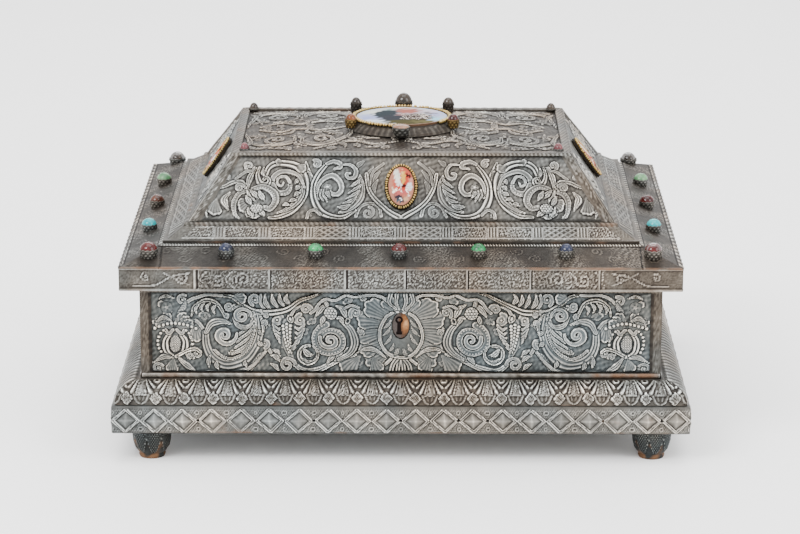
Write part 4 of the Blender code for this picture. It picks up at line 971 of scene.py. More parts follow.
def wall_corners(node_name, side):
    """Corners of a packed sheet's ground, seen from outside. side is 0 front, 1 right, 2 back, 3 left."""
    low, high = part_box(node_name)
    ground = {1: low.x + SHEET_THICKNESS, 2: low.y + SHEET_THICKNESS, 3: high.x - SHEET_THICKNESS}[side]
    if side == 2:
        ends = ((high.x, ground), (low.x, ground))
    else:
        near, far = (low.y, high.y) if side == 1 else (high.y, low.y)
        ends = ((ground, near), (ground, far))
    return [(*ends[0], low.z), (*ends[1], low.z), (*ends[1], high.z), (*ends[0], high.z)]


for side, (node_name, pairs) in enumerate((("right_sheet", 2), ("back_sheet", 3), ("left_sheet", 2)), 1):
    sheet = chased_sheet(
        node_name + "_chased", wall_corners(node_name, side), 1.1 if side == 2 else 0.95,
        lambda bench, u, v, pairs=pairs: draw_side(bench, u, v, pairs),
        aged_silver(node_name + "_silver", SLATE, 0.40, 1.1), SHEET_THICKNESS - 0.0002)
    stands_for(sheet, node_name)

# %% [markdown]
# The slopes of the lid hold scrollwork in sunk fields. The front one has two big scrolls, a
# flower and a corner leaf each side of a heart-shaped frame, which goes round the medallion.
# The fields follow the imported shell: its slope rises from its foot to the edge of its top.
# %% The slopes of the lid
shell_low, shell_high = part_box("lid_shell")
HIP_RUN = 0.0219
HIP_RIB = 0.0050
FIELD_FOOT = 0.0008
FIELD_HEAD = 0.0014
SHEET_SINK = 0.0010
hip_rise = shell_high.z - shell_low.z
slope_length = math.hypot(hip_rise, HIP_RUN)


def slope_point(side, along, up, out=0.0):
    """A point on a slope: a distance from its middle line, one up the slope and one outwards."""
    reach = (-shell_low.y, shell_high.x, shell_high.y, -shell_low.x)[side] - up * HIP_RUN / slope_length
    height = shell_low.z + up * hip_rise / slope_length
    reach += out * hip_rise / slope_length
    height += out * HIP_RUN / slope_length
    return Matrix.Rotation(side * math.pi / 2, 3, "Z") @ Vector((along, -reach, height))


def half_base(side):
    return (shell_high.x, shell_high.y)[side % 2]


def field_corners(side):
    corners = []
    for up, ends in ((FIELD_FOOT, (-1, 1)), (slope_length - FIELD_HEAD, (1, -1))):
        half = half_base(side) - up * HIP_RUN / slope_length - HIP_RIB
        corners += [slope_point(side, end * half, up, -SHEET_SINK) for end in ends]
    return corners


def draw_lid_front(bench, half_u, half_v):
    stray = hand(bench.u, bench.v, 31, 0.22)
    true_u = bench.u
    bench.u = np.abs(true_u) + stray[0]
    bench.v = bench.v + stray[1]
    draw_heart_frame(bench)
    draw_lid_scrolls(bench)
    draw_lid_flower(bench)
    bench.u = true_u


def draw_heart_frame(bench):
    """Bare stems that cross under the medallion, with faint leaves beside them."""
    for base, tip in (((14.7, 11.3), (17.1, 3.7)), ((11.1, 9.4), (14.7, 1.8)), ((12.3, 4.3), (13.5, -3.3)), ((19.5, 15.2), (23.0, 10.7))):
        leaf_blade(bench, curve(base, ((base[0] + tip[0]) / 2 + 1.2, (base[1] + tip[1]) / 2), tip), 2.0, 0.42)
    bench.stroke(spiral((17.1, -13.8), 3.4, 1.0, 100, 1.3, 1), 0.95, 0.5)
    bench.stroke(curve((23.6, -15.8), (20.9, -10.3), (15.9, -8.6), (11.7, -11.0), (10.5, -15.4)), 1.1, 0.55, "grooved")
    bench.stroke(curve((18.3, 7.5), (17.1, 0.5), (13.5, -6.5), (8.1, -11.6), (1.0, -16.4)), 1.7, 0.85, "grooved", (0.8, 1.1))
    bench.stroke(curve((9.3, 13.9), (14.7, 8.8), (16.5, 1.8)), 1.0, 0.6)


def draw_lid_scrolls(bench):
    """The two scrolls: one sits in a leafy cup by the frame, and the other curls in to a beaded end."""
    bench.stroke(curve((49.8, 14.0), (48.1, 8.8), (46.3, 4.3), (45.6, -2.0)), 1.5, 0.8, "grooved", (0.6, 1.1, 0.8))
    bench.fan((46.9, 4.3), (50.2, 8.8), 30, 5, 0.6)
    curl(bench, (44.0, 13.4), 2.5, 60, 1, 1.1)
    bench.stroke(curve((38.9, 13.3), (43.3, 7.5), (45.8, 0.5), (45.4, -6.5), (42.0, -12.8), (36.5, -16.0), (29.6, -16.0), (23.9, -12.3)),
                 2.1, 0.95, "grooved", (0.6, 1.2, 0.6))
    bench.stroke(curve((22.1, 6.6), (20.3, 1.1), (21.5, -5.9), (26.0, -11.0), (32.0, -13.5)), 2.6, 0.75, "veined", (0.5, 1.1, 0.4))
    for base, tip in (((21.5, 5.0), (27.2, 0.5)), ((21.1, 1.8), (27.8, -2.7)), ((21.7, -1.4), (29.0, -5.9)),
                      ((23.3, -5.2), (30.8, -8.6)), ((26.6, -9.1), (33.2, -10.5))):
        leaf_blade(bench, curve(base, ((base[0] + tip[0]) / 2 - 0.6, (base[1] + tip[1]) / 2 - 0.8), tip), 2.2, 0.85)
    bench.stroke(curve((38.9, 13.3), (35.6, 14.5), (32.0, 13.6), (31.7, 11.3), (35.0, 10.4)), 1.5, 1.0, "round", (0.8, 1.2, 0.6))
    bench.stroke(curve((30.2, 12.9), (26.0, 12.7), (23.6, 9.4), (24.5, 5.9), (27.3, 5.5), (28.4, 7.6), (26.7, 8.2)), 1.25, 1.0,
                 "round", (0.6, 1.2, 0.8))
    bench.stroke(curve((43.0, -5.9), (43.2, 0.5), (40.3, 5.3), (35.9, 6.8), (32.0, 3.7), (31.2, -0.8), (33.5, -3.8), (36.9, -2.9),
                       (37.7, 0.2)), 1.7, 1.1, "round", (0.5, 1.2, 0.8))
    for base, tip in (((41.5, -0.8), (40.3, -7.2)), ((40.0, -0.1), (38.3, -7.5)), ((38.6, -0.1), (36.5, -5.9))):
        leaf_blade(bench, curve(base, ((base[0] + tip[0]) / 2 + 0.7, (base[1] + tip[1]) / 2), tip), 1.7, 0.85)
    bench.punch((38.3, 0.4), (2.2, 1.9), 0.9, "rose")
    bench.fan((46.3, -16.1), (48.7, -13.5), 40, 5, 0.55)
    bench.stroke(curve((48.7, -16.7), (47.8, -13.5), (44.8, -12.4), (42.0, -14.8)), 1.1, 0.8)
    bench.stroke(curve((68.4, -16.6), (61.8, -15.6), (55.9, -12.4), (52.2, -7.2), (50.0, -0.8), (50.6, 5.9), (54.0, 11.3), (58.8, 13.5),
                       (64.8, 13.8), (69.0, 11.3), (70.9, 7.2)), 2.3, 0.95, "grooved", (0.5, 1.2, 0.7))
    bench.stroke(curve((52.3, 4.3), (51.6, -2.0), (54.7, -7.8), (60.0, -12.3), (64.2, -13.8)), 2.5, 0.8, "veined", (0.6, 1.1, 0.3))
    for base, tip in (((52.6, 5.0), (55.3, 2.4)), ((52.0, 1.1), (55.0, -1.1)), ((52.4, -2.7), (55.9, -4.3)), ((54.4, -6.5), (58.2, -7.5)),
                      ((57.7, -9.7), (61.5, -10.0))):
        leaf_blade(bench, curve(base, ((base[0] + tip[0]) / 2, (base[1] + tip[1]) / 2 + 0.7), tip), 1.7, 0.85)
    bench.stroke(curve((50.2, -0.1), (52.9, 6.2), (57.7, 8.7), (63.0, 8.8), (66.9, 5.6), (67.2, 0.8)), 1.6, 1.05, "round", (0.5, 1.1, 1.1))
    bench.stroke(curve((67.1, 1.8), (64.8, -2.4), (60.6, -2.9), (58.0, -0.5), (58.0, 3.4)), 1.9, 1.0, "beaded", (1.0, 1.0, 0.7), 1.4)
    bench.stroke(curve((57.9, 2.7), (60.0, 5.9), (63.6, 5.6), (64.8, 2.7), (62.7, 0.8), (61.4, 2.7)), 1.0, 1.1, "round", (1.2, 1.0, 0.7))
    bench.fan((55.9, 12.6), (49.9, 10.1), 30, 6, 0.6)
    bench.fan((60.6, 13.6), (65.4, 15.0), 26, 4, 0.5)


def draw_lid_flower(bench):
    """A flower with a textured heart and beaded petals, two leaves above it and a tendrilled corner."""
    leaf_blade(bench, curve((80.0, -1.1), (78.7, 5.9), (75.4, 11.7)), 2.4, 0.95)
    bench.stroke(curve((74.1, 11.3), (75.1, 6.6), (73.5, 2.3), (70.2, 1.8), (69.0, 4.2), (70.7, 5.6), (71.9, 4.2)), 1.6, 1.0,
                 "grooved", (0.5, 1.2, 0.6))
    leaf_blade(bench, curve((71.9, 11.3), (72.5, 8.2), (71.4, 5.6)), 1.5, 0.85)
    bench.fan((76.2, -5.9), (83.3, -12.3), 40, 8, 0.6)
    bench.fan((76.2, -6.5), (76.2, -16.7), 36, 7, 0.7)
    bench.stroke(curve((80.0, -1.4), (84.5, -3.6), (87.0, -8.4), (86.0, -14.8), (83.9, -17.0)), 1.8, 0.85, "beaded", (0.8, 1.1, 0.5), 1.4)
    bench.stroke(curve((76.8, -0.5), (71.4, 0.4), (66.6, -2.4), (65.1, -7.2), (67.8, -11.3), (71.1, -11.0)), 2.2, 0.95, "beaded",
                 (0.7, 1.1, 0.8), 1.4)
    for base, tip in (((80.2, -1.4), (76.2, -7.8)), ((78.4, -1.1), (73.5, -6.2)), ((80.6, -4.6), (77.9, -9.7)), ((73.8, -2.0), (71.1, -7.2)),
                      ((79.7, -11.0), (76.8, -16.1)), ((74.4, -12.3), (70.8, -15.8))):
        leaf_blade(bench, curve(base, ((base[0] + tip[0]) / 2 + 0.5, (base[1] + tip[1]) / 2 + 0.5), tip), 2.1, 1.0)
    bench.punch((75.4, -11.3), (3.2, 2.6), 1.1, "berries", 0, 1.4)
    bench.stroke(curve((97.6, -1.1), (91.7, 1.1), (87.5, 3.1), (82.7, 3.4), (80.8, -0.1)), 1.3, 0.85, "grooved", (0.5, 1.1, 0.8))
    curl(bench, (84.2, -0.1), 2.5, 150, -1, 1.2, 0.9)
    curl(bench, (79.4, 12.5), 2.5, 300, 1, 1.0, 0.85)
    bench.stroke(curve((76.8, 11.3), (77.9, 9.6), (81.2, 8.8), (86.3, 5.0)), 1.0, 0.75)
    leaf_blade(bench, curve((89.6, -2.7), (92.3, -6.5), (89.9, -12.3)), 2.6, 0.85)
    bench.fan((95.9, -5.9), (97.6, -14.8), 34, 6, 0.6)
    curl(bench, (90.8, 5.9), 2.0, 20, 1, 0.8, 0.6)
    leaf_blade(bench, curve((99.4, -5.9), (101.8, -11.0), (100.6, -16.7)), 1.8, 0.7)
    curl(bench, (97.6, 1.8), 1.9, 100, -1, 0.8, 0.7)


def draw_lid_side(bench, half_u, half_v, pairs=1):
    stray = hand(bench.u, bench.v, 41 + pairs, 0.25)
    true_u = bench.u
    bench.u = np.abs(true_u) + stray[0]
    bench.v = bench.v + stray[1]
    gap = (half_u - 31) / pairs
    for i in range(pairs):
        middle = 20 + gap * (i + 0.5)
        winding_pair(bench, middle, min(gap * 0.44, half_v * 0.66), -1 if i % 2 == 0 else 1, i % 2 == 0)
        bench.punch((middle + gap * 0.52, -half_v * 0.55), (2.6, 2.6), 0.9, "rose")
        curl(bench, (middle + gap * 0.50, half_v * 0.55), 2.4, 90, -1)
    bench.stroke(curve((half_u - 16, half_v * 0.4), (half_u - 10, -half_v * 0.2), (half_u - 7, -half_v * 0.8)), 1.8,
                 0.8, "feather", (0.7, 0.9), 1.5)
    bench.u = true_u


for side, node_name in enumerate(("lid_front_sheet", "lid_right_sheet", "lid_back_sheet", "lid_left_sheet")):
    pairs = 2 if side == 2 else 1
    drawing = draw_lid_front if side == 0 else (lambda bench, u, v, n=pairs: draw_lid_side(bench, u, v, n))
    sheet = chased_sheet(
        node_name + "_chased", field_corners(side), (0.44, 0.85, 1.1, 0.85)[side], drawing,
        aged_silver(node_name + "_silver", GREY, 0.38, 1.4), 0.0008)
    stands_for(sheet, node_name)

# %% [markdown]
# The lid's top swells gently, and its scrollwork is lower and browner than the front's.
# Tendrils run out from a big medallion to the corners.
# %% The top of the lid
TOP_RAIL = 0.0040
TOP_CROWN = 0.0040


def draw_top(bench, half_u, half_v):
    stray = hand(bench.u, bench.v, 51, 0.3)
    true_u, true_v = bench.u, bench.v
    bench.u = np.abs(true_u) + stray[0]
    bench.v = np.where(true_v < 0, -true_v, true_v) + stray[1]
    draw_top_scrolls(bench)
    bench.u, bench.v = true_u, true_v


def draw_top_scrolls(bench):
    """One quarter of the top, which the others mirror."""
    for middle, size, spin in (((42.5, 26.0), 11.0, 1), ((66.5, 25.0), 10.4, -1)):
        for i in range(5):
            turn = math.radians(200 * (spin > 0) + spin * 62 * i)
            root = (middle[0] + size * 0.8 * math.cos(turn), middle[1] + size * 0.8 * math.sin(turn))
            bench.fan(root, (root[0] + 6.0 * math.cos(turn + spin), root[1] + 6.0 * math.sin(turn + spin)), 28, 5, 0.55)
    bench.stroke(curve((2, 32), (14, 36), (26, 31), (36, 36), (46, 42)), 1.4, 0.85, "grooved", (0.5, 1, 0.6))
    bench.stroke(curve((28, 9), (27, 18), (32, 28), (42, 36.5), (52, 33), (53, 25)), 1.7, 0.9, "grooved", (0.5, 1.2, 0.8))
    bench.stroke(spiral((42.5, 26.0), 9.6, 1.6, 20, 1.6, 1, 1.0), 1.35, 0.95, "round", (1.2, 1.1, 0.8))
    bench.stroke(curve((30, 5), (44, 9.5), (56, 5.0), (66, 10), (76, 3.5)), 1.6, 0.85, "grooved", (0.5, 1.1, 0.6))
    bench.stroke(curve((84, 6), (82, 18), (78, 32), (68, 36.5), (58, 32), (57, 24)), 1.7, 0.9, "grooved", (0.5, 1.2, 0.8))
    bench.stroke(spiral((66.5, 25.0), 9.2, 1.5, 160, 1.6, -1, 1.0), 1.3, 0.95, "round", (1.2, 1.1, 0.8))
    bench.punch((54.6, 16.2), (3.4, 3.4), 0.85, "rose")
    bench.punch((54.6, 39.5), (2.6, 2.6), 0.8, "rose")
    for base, bend, tip in (((34, 12), (39, 14), (44, 11)), ((56, 30), (55, 35), (50, 38)), ((76, 12), (77, 18), (80, 23)),
                            ((30, 22), (26, 27), (20, 29)), ((58, 8), (60, 13), (66, 15)), ((70, 38), (75, 41), (81, 38)),
                            ((46, 16), (51, 12), (50, 6)), ((36, 32), (30, 36), (30, 41)), ((82, 24), (80, 30), (83, 36)),
                            ((60, 38), (64, 41), (70, 41)), ((12, 27.5), (18, 26.5), (24, 23.5)), ((8, 34), (12, 39), (19, 41))):
        leaf_blade(bench, curve(base, bend, tip), 2.1, 0.8)
    for place in ((36.5, 40.5), (60.5, 41.5), (80, 40), (50, 3.2), (72, 2.6), (24, 37.5), (9, 41), (80, 14), (36, 17), (74, 17),
                  (4, 27), (66, 3.5), (38, 3)):
        curl(bench, place, 2.4, 20 * place[0], 1 if place[1] > 20 else -1, 1.0, 0.85)


def top_swell(x, y):
    return TOP_CROWN * np.clip(1 - x * x, 0, None) * np.clip(1 - y * y, 0, None)


top_x = shell_high.x - HIP_RUN - TOP_RAIL
top_y = shell_high.y - HIP_RUN - TOP_RAIL
top_z = shell_high.z - SHEET_SINK
top = chased_sheet(
    "top_sheet_chased", ((-top_x, -top_y, top_z), (top_x, -top_y, top_z), (top_x, top_y, top_z), (-top_x, top_y, top_z)),
    0.66, draw_top, aged_silver("top_silver", UMBER, 0.245, 1.35, 0.04), 0.0008, top_swell)
stands_for(top, "top_sheet")

# %% [markdown]
# Mouldings run round the casket with mitred corners. Each is one grid wrapped round a rectangle:
# its columns go round the four sides, and its rows climb a profile. A mitre comes for free when
# every row is a smaller rectangle than the one below. The bench knows which part of the profile
# a point is on, so that an edge face and a slope can carry different work.
# %% Mouldings round the casket
def stations(profile):
    """Row by row: inset, height, outward lean, part of the profile and millimetres along it."""
    points = np.array([entry[:2] for entry in profile], float)
    step = np.diff(points, axis=0)
    length = np.hypot(*step.T)
    lean = np.stack((-step[:, 1], step[:, 0]), 1) / length[:, None]
    rows = []
    for part, count in enumerate(entry[2] for entry in profile[:-1]):
        for i in range(count):
            before = lean[part - 1] if i == 0 and part else lean[part]
            mean = lean[part] + before
            rows.append((*(points[part] + step[part] * i / count), *(mean / max(np.hypot(*mean), 1e-6)),
                         part, length[part] * i / count / MM))
    rows.append((*points[-1], *lean[-1], len(length) - 1, length[-1] / MM))
    return np.array(rows)


def swept_band(name, half_x, half_y, profile, cells, draw, material, fill=False, corner_mm=0.7):
    """A worked moulding. The profile lists inset, height and the rows up to its next point."""
    rows = stations(profile)
    starts = np.concatenate(([0], np.cumsum(cells)))
    mesh, column, row = grid_of(name, int(starts[-1]), len(rows) - 1)
    side = np.clip(np.searchsorted(starts, column, "right") - 1, 0, 3)
    s = (column - starts[side]) / np.asarray(cells)[side] * 2 - 1
    inset, height, lean_in, lean_up, part, v = rows[row].T
    across = np.where(side % 2 == 0, half_x, half_y)
    bench = Bench(s * (across - inset) / MM, v, (across - inset) / MM, side)
    bench.part = part.astype(int)
    draw(bench)
    corner = np.clip((bench.half - np.abs(bench.u)) / corner_mm, 0, 1)
    bench.height *= corner
    bench.sink *= corner
    rise = (bench.height - bench.sink) * MM
    inset = inset + rise * lean_in
    height = height + rise * lean_up
    x, y = s * (across - inset), -(np.where(side % 2 == 0, half_y, half_x) - inset)
    turn = side * np.pi / 2
    place = np.stack((x * np.cos(turn) - y * np.sin(turn), x * np.sin(turn) + y * np.cos(turn), height), 1)
    mesh.vertices.foreach_set("co", place.ravel())
    write_tones(mesh, bench, column, row, (0.6, 2 * half_x / MM / cells[0]))
    return close_and_place(name, mesh, material, fill)


def part_of(bench, part, sides=(0, 1, 2, 3)):
    """The points on one part of the profile, as a small bench of their own."""
    spots = np.flatnonzero((bench.part == part) & np.isin(bench.side, sides))
    small = Bench(bench.u[spots], bench.v[spots], bench.half[spots], bench.side[spots])
    small.spots = spots
    return small


def broader(bench, times=3.0):
    """Places along a side. Away from the front they are drawn out, so that the lines come broader."""
    return np.where(bench.side == 0, bench.u, bench.u / times)


def give_back(bench, small):
    for kept in ("height", "copper", "tarnish_and_shade", "sink"):
        getattr(bench, kept)[small.spots] = getattr(small, kept)


def vermicular(u, v, seed, pitch):
    """Wandering ridges, like worm tracks in old wood."""
    return np.clip(1 - np.abs(ripple(u, v, seed, pitch)) / 0.62, 0, 1) ** 0.7


def cell_chance(cell, side, seed):
    """A steady random number for each cell of each side, from -1 to 1."""
    return np.mod(np.sin(cell * 12.9898 + side * 78.233 + seed * 37.719) * 43758.5453, 1) * 2 - 1


print("mouldings ready")

# %% [markdown]
# The lid's board is covered with strips of thin stamped silver. The ends carry scrolls and the
# middle a close wandering pattern, and every strip ends at a seam. Its sloping top has a lightly
# chased pattern, a serrated strip along its inner edge and a hatched one at the outer ends.
# %% The lid's board
RIM_EDGE = 0.0119
RIM_RISE = 0.0070
RIM_RUN = 0.0211
SHELL_WALL = 0.0075
SEAMS_MM = (-103.9, -66.2, -27.5, 3.0, 34.5, 66.8, 101.9)
wall_low, wall_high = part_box("walls")
rim_low, rim_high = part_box("rim_board")
rim_x, rim_y, rim_z = rim_high.x, rim_high.y, rim_low.z
open_inset = rim_x - (shell_high.x - SHELL_WALL)


def draw_rim(bench):
    edge = part_of(bench, 1)
    draw_rim_edge(edge)
    give_back(bench, edge)
    slope = part_of(bench, 2)
    draw_rim_slope(slope)
    give_back(bench, slope)


def draw_rim_edge(edge):
    """Strips on the upright edge, between a plain line above and one below."""
    u, v = edge.u, edge.v
    middle = np.clip(1 - np.abs(v - 5.9) / 5.2, 0, 1) ** 0.2 * (np.abs(v - 5.9) < 5.2)
    fine = vermicular(broader(edge), v, 61, 1.7)
    bold = vermicular(broader(edge), v, 62, 2.4)
    inner = np.abs(u) < 68
    edge.height[:] = 0.42 * middle * np.where(inner, fine, bold * 0.9)
    for end in (-1, 1):
        for i, place in enumerate((80.0, 93.0)):
            edge.stroke(spiral((end * place, 6.0), 4.2, 1.0, 200, 1.3, 1 if i else -1), 0.75, 0.55, "round")
            edge.stroke(curve((end * (place + 5), 1.6), (end * (place + 9), 6), (end * (place + 6), 10)), 1.1,
                        0.5, "feather", (0.7, 0.7), 1.2)
        plain = (end * u > 103.9) & (end * u < 145)
        edge.height[plain] *= 0.25
        edge.stroke(curve((end * 108, 9.2), (end * 117, 7.4), (end * 125, 3.0), (end * 136, 2.6)), 0.6, 0.45)
        edge.stroke(curve((end * 108, 3.0), (end * 114, 5.6), (end * 121, 9.4)), 0.5, 0.4)
        curl(edge, (end * 112, 6.2), 3.0, 30, end, 0.7, 0.5)
        curl(edge, (end * 130, 7.0), 2.4, 120, -end, 0.6, 0.45)
    for seam in SEAMS_MM:
        edge.height[np.abs(u - seam) < 0.45] = -0.28
        edge.height[np.abs(u - seam + 0.95) < 0.5] = 0.30
    line = (v < 0.7) | (v > 11.2)
    edge.height[line] = 0.28
    edge.copper[:] = 0.38 * (v > 11.0) + 0.22 * (v < 0.8)


def draw_rim_slope(slope):
    """The sloping top: light arabesques, a seam near each corner and strips along the edges."""
    u, v = slope.u, slope.v
    top = 22.2
    patch = np.clip(0.55 + 0.9 * ripple(u, v, 71, 34.0), 0, 1)
    slope.height[:] = 0.26 * patch * vermicular(broader(slope), v, 72, 2.2)
    slope.tarnish_and_shade[:] = 0.75 - 0.35 * patch
    for i in range(-6, 7):
        for turn, shift in ((1, 0), (-1, 9)):
            slope.stroke(spiral((i * 20.0 + shift, 12.0 + turn * 3.4), 3.6, 1.0, 60 * i, 1.3, turn), 0.55, 0.26)
    inner = top - 2.3
    slope.height[v > inner] = 0.15 + 0.45 * wave(broader(slope)[v > inner] / 1.5 + 0.25 * v[v > inner])
    slope.height[np.abs(v - inner) < 0.3] = -0.15
    ends = (slope.side % 2 == 1) & (v < 2.6)
    slope.height[ends] = 0.18 + 0.42 * wave(u[ends] / 2.4 - 0.30 * v[ends])
    slope.height[(slope.side % 2 == 1) & (np.abs(v - 2.9) < 0.35)] = -0.2
    front = (slope.side % 2 == 0)
    slope.height[front & (v < 1.0)] = 0.22
    slope.height[front & (np.abs(np.abs(u) - 123) < 0.35) & (v < inner)] = -0.2
    slope.copper[:] = 0.42 * (front & (v < 1.2)) + 0.12 * (v < 3)


rim = swept_band(
    "rim_board_chased", rim_x, rim_y,
    ((open_inset, rim_z, 2), (0.0, rim_z, 19), (0.0, rim_z + RIM_EDGE, 34), (RIM_RUN, rim_z + RIM_EDGE + RIM_RISE, 3),
     (open_inset, rim_z + RIM_EDGE + RIM_RISE, 2), (open_inset, rim_z)),
    (500, 120, 100, 120), draw_rim, aged_silver("rim_silver", BROWN, 0.40, 1.5, 0.04))
stands_for(rim, "rim_board")

# %% [markdown]
# The moulding under the lid's top climbs in three steps: a thin plate, a sloping band and a
# bead. The band has knots of strapwork between blocks of upright hatching.
# %% The lid's moulding
STEP_TREAD = 0.0022
STEP_HEIGHT = 0.0014
BAND_RUN = 0.0080
BAND_RISE = 0.0056
BEAD = 0.0011
moulding_low, moulding_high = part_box("lid_moulding")


def draw_lid_moulding(bench):
    band = part_of(bench, 3)
    u, v = broader(band), band.v
    block = np.mod(u / 23.5 + 0.5, 1)
    hatched = np.abs(block - 0.5) < 0.12
    weave = np.maximum(wave((u + 1.3 * v) / 4.2), wave((u - 1.3 * v) / 4.2))
    knot = 0.42 * np.clip(weave * 1.6 - 0.6, 0, 1)
    leafy = 0.45 * vermicular(u, v, 81, 2.4)
    mesh_block = cell_chance(np.floor(u / 23.5), band.side, 9) > -0.1
    band.height[:] = np.where(mesh_block, np.maximum(knot, 0.5 * leafy), leafy)
    rungs = 0.15 + 0.42 * wave(u / 1.55) * (np.abs(v - 4.6) < 3.4)
    band.height[:] = np.where(hatched, rungs, band.height)
    band.height[np.abs(np.abs(v - 4.6) - 3.9) < 0.35] = 0.42
    band.height[np.abs(np.abs(block - 0.5) - 0.13) < 0.014] = 0.45
    plain = (band.half - np.abs(band.u)) < 7
    band.height[plain] *= 0.3
    give_back(bench, band)
    for part in (4, 5, 6, 7, 8):
        bead = part_of(bench, part)
        bead.height[:] = 0.22 * wave(broader(bead) / 2.6 + part * 0.14)
        bead.copper[:] = 0.16
        give_back(bench, bead)
    plate = part_of(bench, 1)
    plate.copper[:] = 0.25
    plate.tarnish_and_shade[:] = 0.6
    give_back(bench, plate)


step_z = moulding_low.z
band_z = step_z + STEP_HEIGHT
foot = RIM_RUN + STEP_TREAD
head = foot + BAND_RUN
bead_arc = [(head + BEAD - BEAD * math.cos(a), band_z + BAND_RISE - BEAD * 0.6 + 1.5 * BEAD * math.sin(a), 2)
            for a in np.radians((0, 30, 60, 90, 120))]
moulding = swept_band(
    "lid_moulding_chased", rim_x, rim_y,
    ((open_inset, step_z, 2), (RIM_RUN, step_z, 3), (RIM_RUN, band_z, 3), (foot, band_z, 18), *bead_arc,
     (head + 2.2 * BEAD, moulding_high.z, 2), (open_inset, moulding_high.z, 1), (open_inset, step_z)),
    (430, 110, 90, 110), draw_lid_moulding, aged_silver("moulding_silver", BROWN, 0.40, 1.4, 0.05))
stands_for(moulding, "lid_moulding")

# %% [markdown]
# The shell of the lid shows as broad stamped ribs down its hips and narrow rails round its top.
# Its fields are set back, so that the worked sheets lie in them.
# %% The shell of the lid
FIELD_DROP_MM = 1.35


def draw_shell(bench):
    for part in (2, 3, 4, 5):
        rib = part_of(bench, part)
        edge = rib.half - np.abs(rib.u)
        rib.height[:] = 0.26 * vermicular(rib.u, rib.v, 91, 1.7) * (edge > 0.9) * (edge < 4.3)
        rib.height[np.abs(edge - 0.55) < 0.35] = 0.22
        if part in (3, 4):
            inside = edge > HIP_RIB / MM
            rib.height[inside] = 0
            rib.sink[inside] = FIELD_DROP_MM
        if part == 5:
            rib.height[:] = 0.12 + 0.22 * wave(broader(rib) / 2.2 + 0.2 * rib.v)
        rib.copper[:] = 0.2 * (edge < 0.8)
        give_back(bench, rib)
    for part in (6, 7):
        rail = part_of(bench, part)
        rail.height[:] = 0.25 * wave(broader(rail) / 1.9 + 0.45 * rail.v) * (part == 6)
        rail.copper[:] = 0.15
        give_back(bench, rail)


def on_slope(up):
    return (up * HIP_RUN / slope_length, shell_low.z + up * hip_rise / slope_length)


ceiling = shell_high.z - SHELL_WALL
shell = swept_band(
    "lid_shell_chased", shell_high.x, shell_high.y,
    ((SHELL_WALL + (ceiling - shell_low.z) * HIP_RUN / hip_rise, ceiling, 1), (SHELL_WALL, shell_low.z, 1),
     (*on_slope(0.0), 1), (*on_slope(FIELD_FOOT), 30), (*on_slope(slope_length - FIELD_HEAD - 0.0004), 1),
     (*on_slope(slope_length - FIELD_HEAD), 3), (*on_slope(slope_length), 6),
     (HIP_RUN + TOP_RAIL, shell_high.z, 1), (HIP_RUN + TOP_RAIL + 0.0002, shell_high.z - SHEET_SINK - 0.0008)),
    (320, 120, 110, 120), draw_shell, aged_silver("shell_silver", BROWN, 0.38, 1.4, 0.04), fill=True)
stands_for(shell, "lid_shell")

# %% [markdown]
# The walls show round the sheets as narrow rails and stiles. The stiles are stippled, the top
# rail is roped and the bottom rail is a worn bead, where the copper comes through.
# %% The walls
STILE_MM = 5.0
WALL_DROP_MM = 2.8
TOP_RAIL_HEIGHT = 0.0034
BOTTOM_RAIL_HEIGHT = 0.0029
WALL = 0.009
leaf_low, leaf_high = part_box("leaf_moulding")


def draw_walls(bench):
    for part in (2, 3, 4, 5, 6):
        strip = part_of(bench, part)
        edge = strip.half - np.abs(strip.u)
        strip.height[:] = 0.14 * vermicular(strip.u, strip.v, 95, 1.5)
        if part == 2:
            strip.height[:] = 0.75 * swell((strip.v - 1.45) / 1.45) + 0.10 * ripple(strip.u, strip.v, 96, 5.0)
            strip.copper[:] = 0.24 + 0.30 * ripple(strip.u, strip.v, 97, 60.0)
        if part in (4, 5):
            inside = edge > STILE_MM
            strip.height[inside] = 0
            strip.sink[inside] = WALL_DROP_MM
            # Darker along the line where the stile drops into the field: painted shade at the step.
            strip.tarnish_and_shade[:] = np.exp(-((edge - STILE_MM) / 0.6) ** 2)
        if part == 6:
            strip.height[:] = 0.05 + 0.16 * wave(broader(strip) / 1.9 + 0.35 * strip.v)
            strip.copper[:] = 0.1
        strip.height[edge < 0.8] *= 0.4
        give_back(bench, strip)


field_foot = leaf_high.z + BOTTOM_RAIL_HEIGHT
field_head = wall_high.z - TOP_RAIL_HEIGHT
walls = swept_band(
    "walls_chased", wall_high.x, wall_high.y,
    ((WALL, wall_low.z, 1), (0.0, wall_low.z, 1), (0.0, leaf_high.z, 6), (0.0, field_foot, 1),
     (0.0, field_foot + 0.0002, 26), (0.0, field_head - 0.0002, 1), (0.0, field_head, 6), (0.0, wall_high.z, 2),
     (WALL, wall_high.z, 2), (WALL, wall_low.z)),
    (460, 110, 110, 110), draw_walls, aged_silver("wall_silver", BROWN, 0.36, 1.3, 0.06))
stands_for(walls, "walls")

# %% [markdown]
# The plinth is edged with lozenges. Each has a double line round a smooth raised middle, and
# the triangles between them are filled with fine grains round a ringed dot. The work is
# uneven: lozenges lean, some are flattened, and nail holes show.
# %% The plinth
LOZENGE_PITCH = 0.0148
LOZENGE_DEPTH = 0.0009
plinth_low, plinth_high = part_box("plinth_board")


